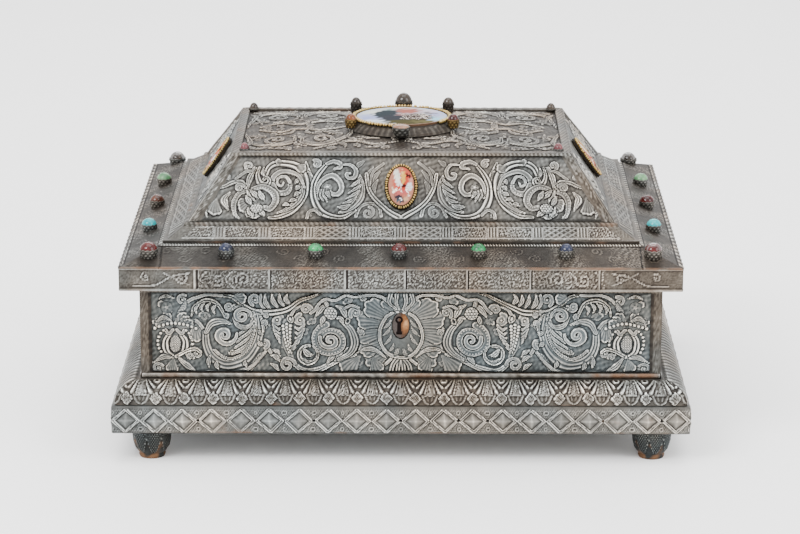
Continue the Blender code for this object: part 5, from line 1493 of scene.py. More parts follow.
def draw_plinth(bench):
    face = part_of(bench, 2)
    count = np.rint(2 * face.half * MM / LOZENGE_PITCH)
    pitch = 2 * face.half / count
    cell = np.floor((face.u + face.half) / pitch)
    x = np.mod((face.u + face.half) / pitch, 1) - 0.5
    tall = face.v.max()
    y = face.v / tall - 0.5
    lean = cell_chance(cell, face.side, 1)
    x = x + 0.04 * lean * (y * 2) + 0.02 * cell_chance(cell, face.side, 2)
    m = 2 * np.abs(x) + 1.9 * np.abs(y + 0.02 * cell_chance(cell, face.side, 3))
    front = face.side == 0
    line = np.exp(-((m - 0.97) / np.where(front, 0.05, 0.14)) ** 2)
    line += 0.9 * np.exp(-((m - 0.80) / 0.045) ** 2) * front
    cushion = np.clip((0.72 - m) / 0.72, 0, 1) ** 0.8 * (0.85 + 0.3 * lean)
    grains = 0.22 * swell(np.clip(lattice(face.u, face.v, 1.25), 0, 1)) * (m > 1.06) * front
    shift = np.mod(x + 1.0, 1) - 0.5
    for up in (-0.34, 0.34):
        dot = np.hypot(shift * pitch, (y - up) * tall)
        grains = np.where(dot < 1.5, 0.34 * np.exp(-((dot - 0.95) / 0.35) ** 2), grains)
    face.height[:] = np.maximum(np.maximum(0.80 * line, cushion), grains)
    worn = np.clip(ripple(face.u, face.v, 12, 42.0) - 0.75, 0, 1)
    face.height[:] *= 1 - 0.75 * worn
    nail = np.hypot(shift * pitch, (y - 0.02) * tall) < 0.75
    nail &= cell_chance(np.floor((face.u + face.half) / pitch + 0.5), face.side, 4) > 0.35
    face.height[nail] = -0.45
    face.height[np.abs(y) > 0.485] *= 0.3
    face.copper[:] = 0.25 * nail + 0.15 * (face.v < 0.6) + 0.30 * worn + 0.10 * (cushion > 0.42)
    give_back(bench, face)


plinth = swept_band(
    "plinth_board_chased", plinth_high.x, plinth_high.y,
    ((0.030, plinth_low.z, 1), (LOZENGE_DEPTH + 0.0007, plinth_low.z, 1), (LOZENGE_DEPTH, plinth_low.z + 0.0006, 27),
     (LOZENGE_DEPTH, plinth_high.z - 0.0005, 1), (LOZENGE_DEPTH + 0.0006, plinth_high.z, 1), (0.030, plinth_high.z)),
    (600, 140, 120, 140), draw_plinth, aged_silver("plinth_silver", GREY, 0.43, 1.7, 0.06), fill=True)
stands_for(plinth, "plinth_board")

# %% [markdown]
# Above the plinth swells a row of hanging leaves. Each leaf has a fan of flutes and a rolled
# tip, with a little hatched leaf and a ring between one and the next. Along the ends of the
# casket the same moulding is feathered instead.
# %% The leaf moulding
LEAF_PITCH = 0.0148
LEAF_SETBACK = 0.0018


def draw_leaves(bench):
    leaf = part_of(bench, 1)
    for part in range(2, 9):
        other = part_of(bench, part)
        other.v = other.v + leaf_reach[part - 1]
        draw_leaf_part(other)
        give_back(bench, other)
    draw_leaf_part(leaf)
    give_back(bench, leaf)


def draw_leaf_part(leaf):
    """One leaf in millimetres, folded so that every leaf is drawn at once."""
    pitch, tall = LEAF_PITCH / MM, leaf_reach[-1]
    true_u, true_v = leaf.u, leaf.v
    cell = np.floor(true_u / pitch + 0.5)
    leaf.u = true_u - cell * pitch + 0.35 * cell_chance(cell, leaf.side, 6)
    leaf.v = (true_v + 0.3 * cell_chance(cell, leaf.side, 7)) * 17.0 / tall
    draw_one_leaf(leaf)
    across = true_u - np.floor(true_u / pitch) * pitch - pitch / 2
    diamond = np.abs(across) / 3.2 + np.abs(leaf.v - 3.3) / 3.3
    lines = np.maximum(wave((across + leaf.v) / 1.3), wave((across - leaf.v) / 1.3))
    hatch = 0.1 + 0.5 * lines + 0.3 * np.exp(-((diamond - 0.9) / 0.10) ** 2)
    leaf.height[:] = np.where(diamond < 1, hatch, leaf.height)
    ring = np.hypot(across, leaf.v - 13.6)
    leaf.height[:] = np.where(ring < 2.1, 0.7 * np.exp(-((ring - 1.45) / 0.45) ** 2), leaf.height)
    wavy = true_u / np.where(leaf.side == 2, 9.5, 4.9) + 0.16 * true_v + 0.35 * np.sin(true_v * 0.42 + true_u * 0.03)
    feathered = 0.30 + 0.5 * wave(wavy)
    fade = np.clip(true_v / 0.6, 0, 1) * np.clip((tall * 0.9 - true_v) / 1.5, 0.04, 1)
    leaf.height[:] = np.where(leaf.side == 0, leaf.height * 1.1, feathered) * fade
    leaf.copper[:] = 0.22 * np.clip(1 - true_v / 2.0, 0, 1) + 0.18 * (true_v > tall * 0.86)


def draw_one_leaf(leaf):
    """A hanging leaf: a smooth body, lobes that open downwards and a curled dark tip."""
    body = np.abs(leaf.u) / np.clip(0.9 + (14.5 - leaf.v) * 0.42, 0.3, 9)
    leaf.height[:] = 0.55 * swell(body) * ((leaf.v > 4.6) & (leaf.v < 14.5))
    for s in (-1, 1):
        leaf.stroke(curve((s * 3.2, 14.2), (s * 4.6, 11.4), (s * 6.5, 9.0)), 0.85, 0.85, "ridged", (0.5, 1.2))
        leaf.stroke(curve((s * 0.9, 14.5), (s * 1.6, 10.0), (s * 2.4, 6.0)), 0.75, 0.75, "ridged", (0.5, 1.2), 1.7, 0.8)
        leaf.stroke(curve((s * 1.9, 14.4), (s * 3.0, 10.2), (s * 4.8, 6.2)), 1.15, 1.05, "ridged", (0.4, 1.3), 1.7, 0.4)
        leaf.stroke(curve((s * 3.9, 4.9), (s * 2.4, 1.9), (s * 0.2, 0.5)), 0.75, 0.5, "ridged", (1.2, 0.8))
        leaf.stroke(curve((s * 1.3, 4.2), (s * 0.9, 2.6)), 0.6, 0.3, "ridged")
    leaf.stroke(curve((0, 14.4), (0, 10), (0, 5.4)), 0.45, 0.85, "ridged", (0.6, 1.2), 1.7, 1.0)


leaf_run = plinth_high.x - wall_high.x - LEAF_SETBACK - 0.0005
leaf_rise = leaf_high.z - leaf_low.z
leaf_arc = [(LEAF_SETBACK + 0.0009 + (leaf_run - 0.0009) * (1 - math.cos(a) ** 0.9), leaf_low.z + leaf_rise * math.sin(a))
            for a in np.radians(np.linspace(0, 90, 9))]
leaf_reach = np.concatenate(([0.0], np.cumsum(np.hypot(*np.diff(np.array(leaf_arc), axis=0).T)) / MM))
leaves = swept_band(
    "leaf_moulding_chased", plinth_high.x, plinth_high.y,
    ((leaf_arc[-1][0], leaf_low.z, 1), *((*point, 4) for point in leaf_arc[:-1]), (*leaf_arc[-1], 1),
     (leaf_arc[-1][0], leaf_low.z)),
    (540, 130, 110, 130), draw_leaves, aged_silver("leaf_silver", BROWN, 0.38, 1.25, 0.05))
stands_for(leaves, "leaf_moulding")

# %% [markdown]
# Round work is turned: a profile is carried round an axis, or round an oval core. Collets,
# feet and medallions are all made this way, and each point can be raised as on a sheet.
# %% Turned pieces
def turned(name, profile, columns, draw, material, place, core=(0.0, 0.0), sharp=50):
    """The profile gives radius, height and rows up to its next point. The core widens it to an oval."""
    rows = stations([(-entry[0], *entry[1:]) for entry in profile])
    mesh, column, row = grid_of(name, columns, len(rows) - 1)
    angle = column / columns * 2 * np.pi
    inset, height, lean_in, lean_up, part, v = rows[row].T
    mean = max(entry[0] for entry in profile) + sum(core) / 2
    bench = Bench(angle * mean / MM, v, np.full(len(v), 1000.0), 0)
    bench.angle, bench.part, bench.z = angle, part.astype(int), height / MM
    bench.reach = -inset / MM
    draw(bench)
    first = np.zeros(len(rows))
    first[row[column == 0]] = bench.height[column == 0]
    seam = column == columns
    bench.height[seam] = first[row[seam]]
    bench.height[(row == 0) | (row == len(rows) - 1)] = 0
    radius = -(inset + bench.height * MM * lean_in)
    height = height + bench.height * MM * lean_up
    if not any(core):
        radius[bench.reach == 0] = 0
    x, y = (core[0] + radius) * np.cos(angle), (core[1] + radius) * np.sin(angle)
    points = np.stack((x, y, height, np.ones_like(x)), 1) @ np.array(place).T
    mesh.vertices.foreach_set("co", points[:, :3].ravel())
    write_tones(mesh, bench, column, row, (0.45, 2 * math.pi * mean / MM / columns))
    return close_and_place(name, mesh, material, False, sharp=sharp)


def upright(x, y, z):
    return Matrix.Translation((x, y, z))


def rides_with(piece):
    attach(piece, "root")
    return piece


print("turning ready")

# %% [markdown]
# The stones are polished domes, or cabochons, cut without facets. A little light passes through
# them and comes back from the metal below. Turquoise and the pale stones are not clear.
# %% Stones
STONE_COLOURS = {
    "garnet": ((0.022, 0.0015, 0.0015), (0.085, 0.006, 0.005), 0.12),
    "brown": ((0.022, 0.006, 0.003), (0.090, 0.026, 0.012), 0.12),
    "green": ((0.002, 0.060, 0.018), (0.020, 0.30, 0.095), 0.12),
    "pale_green": ((0.045, 0.14, 0.060), (0.14, 0.28, 0.14), 0.0),
    "sapphire": ((0.002, 0.0025, 0.008), (0.010, 0.015, 0.045), 0.12),
    "turquoise": ((0.004, 0.20, 0.23), (0.015, 0.34, 0.35), 0.0),
    "smoky": ((0.012, 0.008, 0.006), (0.055, 0.038, 0.026), 0.15),
    "peach": ((0.15, 0.068, 0.038), (0.28, 0.15, 0.09), 0.0),
    "amber": ((0.060, 0.014, 0.003), (0.20, 0.055, 0.012), 0.12),
    "pink": ((0.060, 0.014, 0.018), (0.18, 0.050, 0.055), 0.12),
}


def stone_material(name):
    dark, bright, clear = STONE_COLOURS[name]
    material = bpy.data.materials.new(name + "_stone")
    material.use_nodes = True
    tree = material.node_tree
    shader = tree.nodes["Principled BSDF"]
    place = node(tree, "ShaderNodeTexCoord").outputs["Object"]
    cloud = threshold(tree, noise_of(tree, place, 260.0, 4.0), 0.36, 0.66)
    tree.links.new(ramp_of(tree, cloud, ((0.0, dark), (1.0, bright))), shader.inputs["Base Color"])
    shader.inputs["Roughness"].default_value = 0.12
    shader.inputs["IOR"].default_value = 1.50
    shader.inputs["Specular IOR Level"].default_value = 0.35
    shader.inputs["Transmission Weight"].default_value = clear
    return material


STONES = {name: stone_material(name) for name in STONE_COLOURS}


def middle_of(name):
    low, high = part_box(name)
    return (low.x + high.x) / 2, (low.y + high.y) / 2, low.z, (high.x - low.x) / 2, high.z - low.z


def cabochon(node_name, colour, seed, squash=1.0):
    """A domed stone on a flat foot, none of them perfectly round."""
    x, y, z, radius, height = middle_of(node_name)
    bm = bmesh.new()
    bmesh.ops.create_uvsphere(bm, u_segments=24, v_segments=14, radius=1.0)
    bmesh.ops.bisect_plane(bm, geom=bm.verts[:] + bm.edges[:] + bm.faces[:], plane_co=(0, 0, 0.02),
                           plane_no=(0, 0, 1), clear_inner=True)
    bmesh.ops.holes_fill(bm, edges=[edge for edge in bm.edges if edge.is_boundary], sides=0)
    bm.transform(Matrix.Diagonal((radius * (1 - 0.04 * (seed % 3)), radius * squash, height, 1)))
    bm.transform(Matrix.Rotation(0.7 * seed, 4, "Z"))
    bm.transform(upright(x, y, z - 0.02 * height))
    bmesh.ops.recalc_face_normals(bm, faces=bm.faces)
    for face in bm.faces:
        face.smooth = len(face.verts) < 5
    mesh = bpy.data.meshes.new(node_name + "_cut")
    bm.to_mesh(mesh)
    bm.free()
    piece = bpy.data.objects.new(node_name + "_cut", mesh)
    bpy.context.scene.collection.objects.link(piece)
    mesh.materials.append(STONES[colour])
    stands_for(piece, node_name)


COLOUR_OF = {
    "stone_front_left": "garnet", "stone_front_1": "sapphire", "stone_front_2": "green",
    "stone_front_3": "garnet", "stone_front_4": "green", "stone_front_5": "sapphire",
    "stone_front_right": "garnet", "stone_left_1": "turquoise", "stone_left_2": "brown",
    "stone_left_3": "pale_green", "stone_right_1": "turquoise", "stone_right_2": "garnet",
    "stone_right_3": "pale_green", "stone_back_left": "smoky", "stone_back_right": "smoky",
    "stone_back_1": "sapphire", "stone_back_2": "green", "stone_back_3": "garnet",
    "stone_back_4": "green", "stone_back_5": "sapphire", "stone_top_left": "amber",
    "stone_top_right": "garnet", "stone_top_front": "peach", "stone_top_back_left": "smoky",
    "stone_top_back": "smoky", "stone_top_back_right": "smoky", "stud_front_left": "pink",
    "stud_front_right": "pink", "stud_back_left": "smoky", "stud_back_right": "smoky",
}
for i, (stone_name, colour) in enumerate(COLOUR_OF.items()):
    cabochon(stone_name, colour, i, 0.78 if stone_name == "stone_top_front" else 1.0)
print("stones:", len(COLOUR_OF))

# %% [markdown]
# Each stone sits in a collet, a cup of thin silver whose lip is cut into claws and pressed over
# the edge of the stone. The hollows between the claws are black with old tarnish and painted
# shade, and the foot of each cup is darkened as painted shade where it stands.
# %% Collets
collet_silver = aged_silver("collet_silver", GREY, 0.36, 1.15, 0.0)
GOLD = ((0.010, 0.006, 0.002), (0.055, 0.032, 0.010), (0.16, 0.10, 0.032), (0.36, 0.24, 0.085), (0.75, 0.58, 0.28))
gilt_collet = aged_silver("gilt_collet", GOLD, 0.36, 1.1, 0.0)
dark_collet = aged_silver("dark_collet", BROWN, 0.20, 0.9, 0.0)


GRAIN_MM = 1.4


def collet(stone_name, drop, claws, metal):
    x, y, z, radius, height = middle_of(stone_name)
    lip = z + 0.16 * height

    def draw(bench):
        claw = np.abs(np.cos(bench.angle * claws / 2)) ** 0.7
        outside = (bench.part == 1) | (bench.part == 2)
        down = (z / MM - bench.z) / GRAIN_MM
        grains = wave(bench.angle * claws / 2 / np.pi + 0.5 * np.floor(down)) * np.abs(np.sin(np.pi * down))
        bench.height[:] = np.where(outside, 0.42 * grains - 0.10, 0)
        bench.height[bench.part == 3] = 0.40 * claw[bench.part == 3] - 0.1
        # Darker low on the outside of the cup: painted shade where it stands on the metal below.
        bench.tarnish_and_shade[:] = 0.35 * (bench.part == 1) * (bench.v < 1.2)

    cup = turned(
        stone_name + "_collet",
        ((0.0, z - drop, 1), (radius * 0.80, z - drop, 10), (radius + 0.00025, z - 0.02 * height, 3),
         (radius + 0.00005, lip, 2), (radius * 0.93, z + 0.02 * height, 1), (radius * 0.86, z - 0.0002, 1),
         (0.0, z - 0.0002)),
        48, draw, metal, upright(x, y, 0.0))
    return rides_with(cup)


for stone_name in COLOUR_OF:
    if stone_name.startswith("stud"):
        collet(stone_name, 0.0002, 9, collet_silver)
    elif stone_name.startswith("stone_top_back"):
        collet(stone_name, 0.0066, 10, dark_collet)
    elif stone_name.startswith("stone_top"):
        golden = stone_name in ("stone_top_left", "stone_top_right")
        collet(stone_name, 0.0040, 9, gilt_collet if golden else collet_silver)
    else:
        collet(stone_name, 0.0040, 12, collet_silver)

# %% [markdown]
# The pictures are painted enamel under a clear glaze. Only their colours and broad areas are
# kept, as soft washes: nothing in them is a portrait or a text.
# %% Painted enamel
class Painting:
    """Colours for every point of an oval. u and v run from -1 to 1 across it."""

    def __init__(self, u, v, ground):
        stray = ripple(u * 30, v * 30, 7, 5.0), ripple(u * 30, v * 30, 8, 6.0)
        self.u = u + 0.05 * stray[0]
        self.v = v + 0.05 * stray[1]
        self.colour = np.tile(np.asarray(ground, float), (len(u), 1))

    def lay(self, weight, colour):
        weight = np.clip(weight, 0, 1)[:, None]
        self.colour = self.colour * (1 - weight) + np.asarray(colour) * weight

    def wash(self, middle, radii, colour, strength=1.0, turn=0.0, soft=0.4):
        du, dv = self.u - middle[0], self.v - middle[1]
        a, b = math.cos(math.radians(turn)), math.sin(math.radians(turn))
        q = np.hypot((du * a + dv * b) / radii[0], (dv * a - du * b) / radii[1])
        self.lay(strength * np.clip((1 - q) / soft, 0, 1), colour)

    def line(self, path, width, colour, strength=1.0):
        bench = Bench(self.u, self.v, np.ones_like(self.u), 0)
        bench.stroke(path, width, 1.0, "round", (1.0, 0.7), 1.0, 1.0)
        self.lay(strength * bench.height * 1.6, colour)


ENAMEL_SKY = (0.36, 0.39, 0.44)


def paint_landscape(picture):
    """Cloudy light left and right, a dark wooded mass and a rosy one between, and a brown shore."""
    picture.wash((-0.74, -0.20), (0.36, 0.60), (0.20, 0.23, 0.46), 0.8, 0, 0.8)
    picture.wash((-0.60, 0.42), (0.36, 0.36), (0.50, 0.53, 0.46), 0.8, 10, 0.8)
    picture.wash((-0.66, -0.52), (0.30, 0.18), (0.56, 0.60, 0.62), 0.8, 20, 0.8)
    picture.wash((0.76, 0.20), (0.28, 0.50), (0.25, 0.26, 0.44), 0.8, 0, 0.8)
    picture.wash((0.74, -0.28), (0.20, 0.30), (0.20, 0.42, 0.52), 0.8, 0, 0.7)
    picture.wash((0.62, 0.55), (0.24, 0.18), (0.48, 0.36, 0.42), 0.7, 0, 0.8)
    picture.wash((0.02, 0.86), (0.50, 0.14), (0.56, 0.42, 0.34), 0.8, 0, 0.8)
    picture.wash((-0.26, 0.72), (0.22, 0.26), (0.24, 0.34, 0.32), 0.9, -10, 0.7)
    picture.wash((0.12, 0.56), (0.40, 0.40), (0.25, 0.092, 0.076), 1.0, -6, 0.5)
    picture.wash((0.00, 0.05), (0.22, 0.30), (0.16, 0.072, 0.066), 0.9, 10, 0.5)
    picture.wash((-0.36, 0.26), (0.30, 0.50), (0.030, 0.036, 0.041), 1.0, -18, 0.3)
    picture.wash((-0.16, -0.24), (0.40, 0.38), (0.032, 0.034, 0.040), 1.0, -10, 0.3)
    picture.wash((0.36, -0.10), (0.38, 0.46), (0.036, 0.026, 0.026), 1.0, 6, 0.3)
    picture.wash((0.60, 0.34), (0.20, 0.14), (0.13, 0.11, 0.11), 0.9, -30, 0.5)
    for i in range(7):
        start = (0.02 + 0.09 * i, -0.34 + 0.05 * (i % 3))
        picture.line(curve(start, (start[0] + 0.03, 0.0), (start[0] + 0.10 * (i % 3 - 0.8), 0.26)), 0.016,
                     (0.52, 0.46, 0.40), 0.9)
    picture.line(curve((0.34, -0.36), (0.48, -0.08), (0.64, 0.08)), 0.016, (0.56, 0.50, 0.44), 0.9)
    picture.line(curve((0.62, -0.38), (0.50, -0.12), (0.38, 0.10)), 0.016, (0.56, 0.50, 0.44), 0.9)
    picture.wash((0.20, -0.64), (0.70, 0.34), (0.052, 0.048, 0.026), 1.0, 2, 0.35)
    picture.wash((0.44, -0.58), (0.34, 0.14), (0.105, 0.092, 0.046), 0.8, 4, 0.6)
    picture.wash((0.10, -0.92), (0.50, 0.08), (0.26, 0.13, 0.070), 0.8, 0, 0.6)


def paint_rider(picture):
    """A pale beast and a golden figure on red, over a rosy ground with a dark shape in it."""
    picture.wash((0.10, 0.16), (0.84, 0.76), (0.34, 0.036, 0.021), 0.95, 0, 0.35)
    picture.wash((0.40, 0.85), (0.60, 0.30), (0.34, 0.048, 0.030), 0.8, -30, 0.6)
    picture.wash((-0.30, 0.42), (0.27, 0.46), (0.56, 0.53, 0.47), 1.0, 8, 0.35)
    picture.wash((-0.42, 0.72), (0.20, 0.17), (0.54, 0.51, 0.45), 1.0, 30, 0.35)
    picture.wash((-0.14, 0.05), (0.26, 0.15), (0.50, 0.48, 0.45), 1.0, -20, 0.35)
    picture.wash((0.62, -0.05), (0.30, 0.24), (0.52, 0.50, 0.50), 1.0, 15, 0.35)
    picture.wash((0.74, 0.28), (0.24, 0.16), (0.40, 0.17, 0.14), 0.9, 0, 0.5)
    picture.wash((-0.24, 0.55), (0.10, 0.16), (0.30, 0.38, 0.34), 0.7, 20, 0.6)
    picture.wash((0.16, 0.40), (0.20, 0.40), (0.44, 0.25, 0.05), 1.0, -6, 0.35)
    picture.wash((0.10, 0.72), (0.13, 0.13), (0.46, 0.26, 0.13), 1.0, 0, 0.35)
    picture.wash((0.05, 0.62), (0.10, 0.10), (0.55, 0.40, 0.12), 0.9, 0, 0.5)
    picture.wash((0.54, 0.52), (0.26, 0.11), (0.030, 0.008, 0.008), 1.0, -14, 0.4)
    picture.wash((0.24, -0.02), (0.26, 0.11), (0.032, 0.006, 0.006), 1.0, 6, 0.4)
    picture.wash((-0.13, -0.02), (0.07, 0.10), (0.045, 0.016, 0.020), 0.9, 0, 0.5)
    picture.wash((0.00, -0.36), (0.80, 0.16), (0.32, 0.070, 0.066), 0.95, 4, 0.4)
    picture.wash((-0.60, -0.18), (0.16, 0.10), (0.52, 0.42, 0.30), 0.9, 0, 0.5)
    picture.line(curve((-0.62, -0.34), (-0.36, -0.20), (-0.05, -0.24), (0.08, -0.40)), 0.035, (0.82, 0.72, 0.60))
    picture.line(curve((0.30, -0.22), (0.48, -0.30), (0.58, -0.52)), 0.035, (0.84, 0.80, 0.76))
    picture.wash((-0.12, -0.66), (0.50, 0.20), (0.022, 0.020, 0.026), 1.0, -16, 0.35)
    picture.wash((-0.20, -0.76), (0.26, 0.11), (0.045, 0.062, 0.075), 1.0, 0, 0.5)
    picture.line(curve((-0.12, -0.62), (-0.02, -0.68), (0.02, -0.74)), 0.03, (0.80, 0.78, 0.78))
    picture.wash((0.36, -0.68), (0.26, 0.12), (0.42, 0.24, 0.14), 0.9, 10, 0.5)


def enamel_material(name, roughness=0.55):
    material = bpy.data.materials.new(name)
    material.use_nodes = True
    tree = material.node_tree
    shader = tree.nodes["Principled BSDF"]
    paint = node(tree, "ShaderNodeAttribute", attribute_name="paint", attribute_type="GEOMETRY")
    place = node(tree, "ShaderNodeTexCoord").outputs["Object"]
    speck = threshold(tree, noise_of(tree, place, 900.0, 3.0), 0.62, 0.74)
    dirt = node(tree, "ShaderNodeMath", operation="MULTIPLY")
    tree.links.new(speck, dirt.inputs[0])
    dirt.inputs[1].default_value = 0.5
    tree.links.new(blend_colour(tree, dirt.outputs[0], paint.outputs["Color"], (0.10, 0.07, 0.05)),
                   shader.inputs["Base Color"])
    shader.inputs["Roughness"].default_value = roughness
    shader.inputs["Specular IOR Level"].default_value = 0.0
    return material


def enamel(node_name, half, crown, place, ground, paint, columns, rings, slide=0.0):
    """A domed oval of painted enamel. slide moves the painting forward over the dome."""
    points = [(half[0] * math.cos(a), crown * math.sin(a)) for a in np.radians(np.linspace(0, 90, rings + 1))]
    below = ((0.0, -0.0006, 1), (half[0] * 0.98, -0.0006, 1))
    oval = place @ Matrix.Diagonal((1.0, half[1] / half[0], 1.0, 1.0))
    shape = turned(node_name + "_painted", (*below, *((*p, 1) for p in points[:-1]), points[-1]), columns,
                   lambda bench: None, enamel_material(node_name + "_glaze"), oval, sharp=60)
    back = place.inverted()
    flat = np.array([(back @ vertex.co)[:2] for vertex in shape.data.vertices]) / np.array(half)
    dome = np.sqrt(np.clip(1 - (flat ** 2).sum(1), 0, 1))
    picture = Painting(flat[:, 0], flat[:, 1] + slide * dome, ground)
    paint(picture)
    layer = shape.data.attributes.new("paint", "FLOAT_COLOR", "POINT")
    layer.data.foreach_set("color", np.hstack((picture.colour, np.ones((len(flat), 1)))).astype(np.float32).ravel())
    return stands_for(shape, node_name)


print("paintings ready")

# %% [markdown]
# Each medallion is held by a gilt rim of small beads. The beads were stamped as a strip and
# soldered round, and on the big one a length of them is lost at the front.
# %% Medallions
gilt = aged_silver("gilt_beads", ((0.02, 0.010, 0.003), (0.12, 0.065, 0.015), (0.30, 0.19, 0.055), (0.56, 0.40, 0.15),
                                  (0.90, 0.78, 0.48)), 0.44, 0.5, 0.0, 0.8)
# The plate under the big medallion is dark: dark tarnished metal, with painted shade under its ring of beads.
dark_plate = aged_silver("dark_plate", BROWN, 0.20, 0.9, 0.02)
old_gilt = aged_silver("old_gilt", GOLD, 0.24, 0.8, 0.0)


def bead_strip(name, half, radius, height, place, count, keep, metal):
    """Beads round an oval, each a little out of true. keep says which angles still have them."""
    bm = bmesh.new()
    chance = np.random.default_rng(count)
    steps = np.linspace(0, 2 * math.pi, 721)
    run = np.concatenate(([0], np.cumsum(np.hypot(np.diff(half[0] * np.cos(steps)), np.diff(half[1] * np.sin(steps))))))
    for i in range(count):
        angle = float(np.interp((i + 0.12 * chance.standard_normal()) / count * run[-1], run, steps))
        if not keep(math.degrees(angle) % 360):
            continue
        size = radius * (1 + 0.10 * chance.standard_normal())
        spot = upright(half[0] * math.cos(angle), half[1] * math.sin(angle), height)
        turn = Matrix.Rotation(angle, 4, "Z")
        made = bmesh.ops.create_uvsphere(bm, u_segments=8, v_segments=6, radius=1.0)["verts"]
        bmesh.ops.transform(bm, verts=made, matrix=place @ spot @ turn @ Matrix.Diagonal((size * 1.4, size, size * 1.3, 1)))
    for face in bm.faces:
        face.smooth = True
    mesh = bpy.data.meshes.new(name)
    bm.to_mesh(mesh)
    bm.free()
    values = np.full(len(mesh.vertices), 0.62, np.float32)
    for label in ("raised", "crest"):
        mesh.attributes.new(label, "FLOAT", "POINT").data.foreach_set("value", values)
    piece = bpy.data.objects.new(name, mesh)
    bpy.context.scene.collection.objects.link(piece)
    mesh.materials.append(metal)
    return rides_with(piece)


def level(bench):
    """Plain metal, a little uneven."""
    bench.height[:] = 0.05 * ripple(bench.u, bench.v, 33, 4.0)


def skirt(bench):
    """Flutes that run down and outwards, worn flat in places."""
    level(bench)
    flutes = wave(bench.angle * 52 / (2 * np.pi) + 0.08 * ripple(bench.u, bench.v, 35, 9.0))
    bench.height[:] += 0.22 * flutes * (bench.part < 2)


def old_rim(bench):
    """The rim of a small medallion, black low on its side."""
    level(bench)
    bench.tarnish_and_shade[:] = 0.9 * (bench.part < 2)


SMALL_HALF = (0.0070, 0.0110)
slope_middle = slope_length / 2
for side, spot in ((0, "front"), (1, "right"), (3, "left")):
    origin = Vector(slope_point(side, 0.0, slope_middle, -SHEET_SINK + 0.0005))
    across = (Vector(slope_point(side, 0.01, slope_middle, 0.0)) - Vector(slope_point(side, 0.0, slope_middle, 0.0)))
    upward = (Vector(slope_point(side, 0.0, slope_middle + 0.01, 0.0)) - Vector(slope_point(side, 0.0, slope_middle, 0.0)))
    across.normalize()
    upward.normalize()
    seat = Matrix((across, upward, across.cross(upward))).transposed().to_4x4()
    seat.translation = origin
    rim_mount = turned(
        spot + "_mount_turned",
        ((0.0017, 0.0, 4), (0.0016, 0.0011, 2), (0.0014, 0.0014, 2), (0.0012, 0.0011, 2), (0.0002, 0.0015, 2),
         (0.0, 0.0023, 2), (-0.0003, 0.0023, 1), (-0.0004, 0.0, 1), (0.0017, 0.0)),
        96, old_rim, old_gilt, seat, core=SMALL_HALF)
    stands_for(rim_mount, spot + "_mount")
    bead_strip(spot + "_beads", (SMALL_HALF[0] + 0.0008, SMALL_HALF[1] + 0.0008), 0.00052, 0.0019, seat, 48,
               lambda degrees: True, gilt)
    enamel(spot + "_enamel", (SMALL_HALF[0] - 0.0002, SMALL_HALF[1] - 0.0002), 0.0012,
           seat @ upright(0, 0, 0.0018), (0.30, 0.125, 0.085), paint_rider, 96, 26)

TOP_HALF = (0.0245, 0.0210)
mount_low, mount_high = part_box("top_mount")
picture_low, picture_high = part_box("top_enamel")
plate_z = mount_low.z
edge_z = picture_low.z
plate = turned(
    "top_mount_turned",
    ((0.0062, plate_z - 0.0008, 5), (0.0055, plate_z + 0.0003, 8), (0.0018, plate_z + 0.0029, 3), (0.0003, plate_z + 0.0036, 2),
     (-0.0006, plate_z + 0.0026, 1), (-0.0006, plate_z, 1), (0.0062, plate_z - 0.0008)),
    180, skirt, dark_plate, upright(0.0, 0.0, 0.0), core=TOP_HALF)
stands_for(plate, "top_mount")


def beads_left(degrees):
    return (degrees < 268) | (degrees > 318)


bead_strip("top_beads", (TOP_HALF[0] + 0.0013, TOP_HALF[1] + 0.0013), 0.00076, plate_z + 0.0044, upright(0, 0, 0), 92,
           beads_left, gilt)
copper_rim = aged_silver("copper_rim", GOLD, 0.36, 0.9, 0.0)


def rim_of_gap(bench):
    """Gilt, with bare copper where the beads are lost."""
    level(bench)
    bench.copper[:] = ~beads_left(np.degrees(bench.angle)) * 0.9


band = turned(
    "top_rim_band",
    ((0.0004, plate_z + 0.0028, 3), (0.0006, plate_z + 0.0046, 2), (0.0001, plate_z + 0.0048, 2),
     (-0.0002, plate_z + 0.0030, 1), (0.0004, plate_z + 0.0028)),
    180, rim_of_gap, copper_rim, upright(0.0, 0.0, 0.0), core=TOP_HALF)
rides_with(band)
enamel("top_enamel", (TOP_HALF[0] - 0.0001, TOP_HALF[1] - 0.0001), 0.0013, upright(0.0, 0.0, edge_z + 0.0010), ENAMEL_SKY,
       paint_landscape, 160, 44, 0.22)

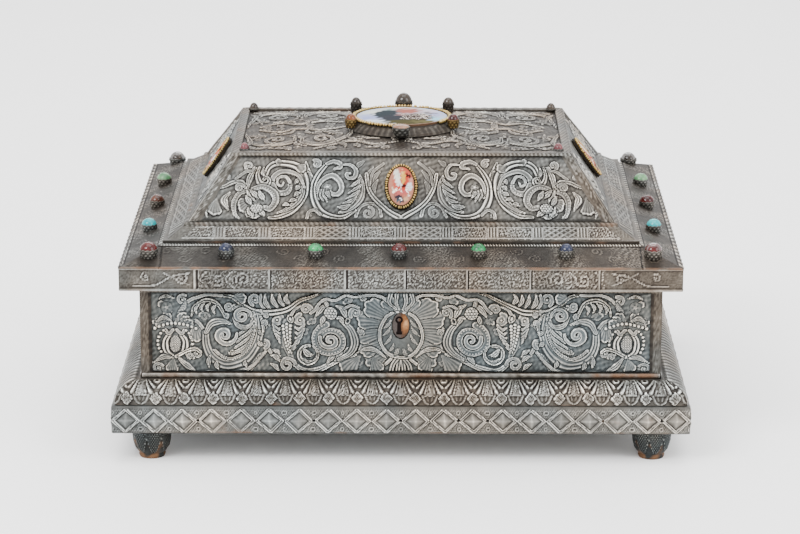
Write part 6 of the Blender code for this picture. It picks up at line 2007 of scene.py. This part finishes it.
# %% [markdown]
# The feet are squat copper buns on a ring. Pointed panels of dark grains stand between smooth
# ribs, which are bright where the casket has been handled and moved.
# %% Feet
FOOT_PANELS = 8
foot_low, foot_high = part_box("foot_front_left")
foot_radius = (foot_high.x - foot_low.x) / 2
foot_height = foot_high.z - foot_low.z
foot_copper = aged_silver("foot_metal", SLATE, 0.16, 1.9, 0.0, 0.35, (0.24, 0.120, 0.058))


def draw_foot(bench):
    lobe = np.mod(bench.angle / (2 * np.pi) * FOOT_PANELS + 0.25, 1) - 0.5
    climb = np.clip((bench.z - 3.6) / 9.0, 0, 1)
    tongue = 0.455 * np.sqrt(climb)
    body = (bench.part >= 3) & (bench.part <= 8)
    panel = (np.abs(lobe) < tongue) & body
    grains = 0.40 * swell(np.clip(lattice(bench.u, bench.z * 1.1, 1.3), 0, 1)) - 0.08
    rib = np.exp(-((np.abs(lobe) - tongue - 0.03) / 0.02) ** 2) * body * (climb > 0)
    bench.height[:] = np.where(panel, grains, 0.05) + 0.35 * rib
    bare = np.where(body, np.clip(1.25 - climb * 1.1, 0.2, 1), 1.0)
    bench.copper[:] = np.where(panel, 0.0, bare) * (0.50 + 0.40 * ripple(bench.u, bench.z, 55, 9.0))


def foot_profile():
    """A foot ring with a groove over it, and the bun above."""
    base = 0.64 * foot_radius
    points = [(0.0, 0.0, 1), (base * 0.97, 0.0, 3), (base * 1.03, 0.0012, 3), (base * 0.98, 0.0026, 2)]
    for share, rise in ((0.70, 0.0030), (0.84, 0.0055), (0.92, 0.0085), (0.955, 0.0120), (0.96, 0.0148)):
        points.append((foot_radius * share, rise, 7))
    points.append((foot_radius * 0.90, foot_height, 1))
    points.append((0.0, foot_height))
    return points


for end in ("front", "back"):
    for row in ("left", "right"):
        name = f"foot_{end}_{row}"
        low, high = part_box(name)
        foot_piece = turned(name + "_turned", foot_profile(), 112, draw_foot, foot_copper,
                            upright((low.x + high.x) / 2, (low.y + high.y) / 2, low.z))
        stands_for(foot_piece, name)

# %% [markdown]
# The dressed casket keeps to the box of its imported solids. Both boxes are worked out below.
# %% Sizes and finish
def plain(box):
    return [[float(x) for x in corner] for corner in box]


{"packed": plain(packed_box), "dressed": plain(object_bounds())}
print("triangles:", sum(REPORT.values()))
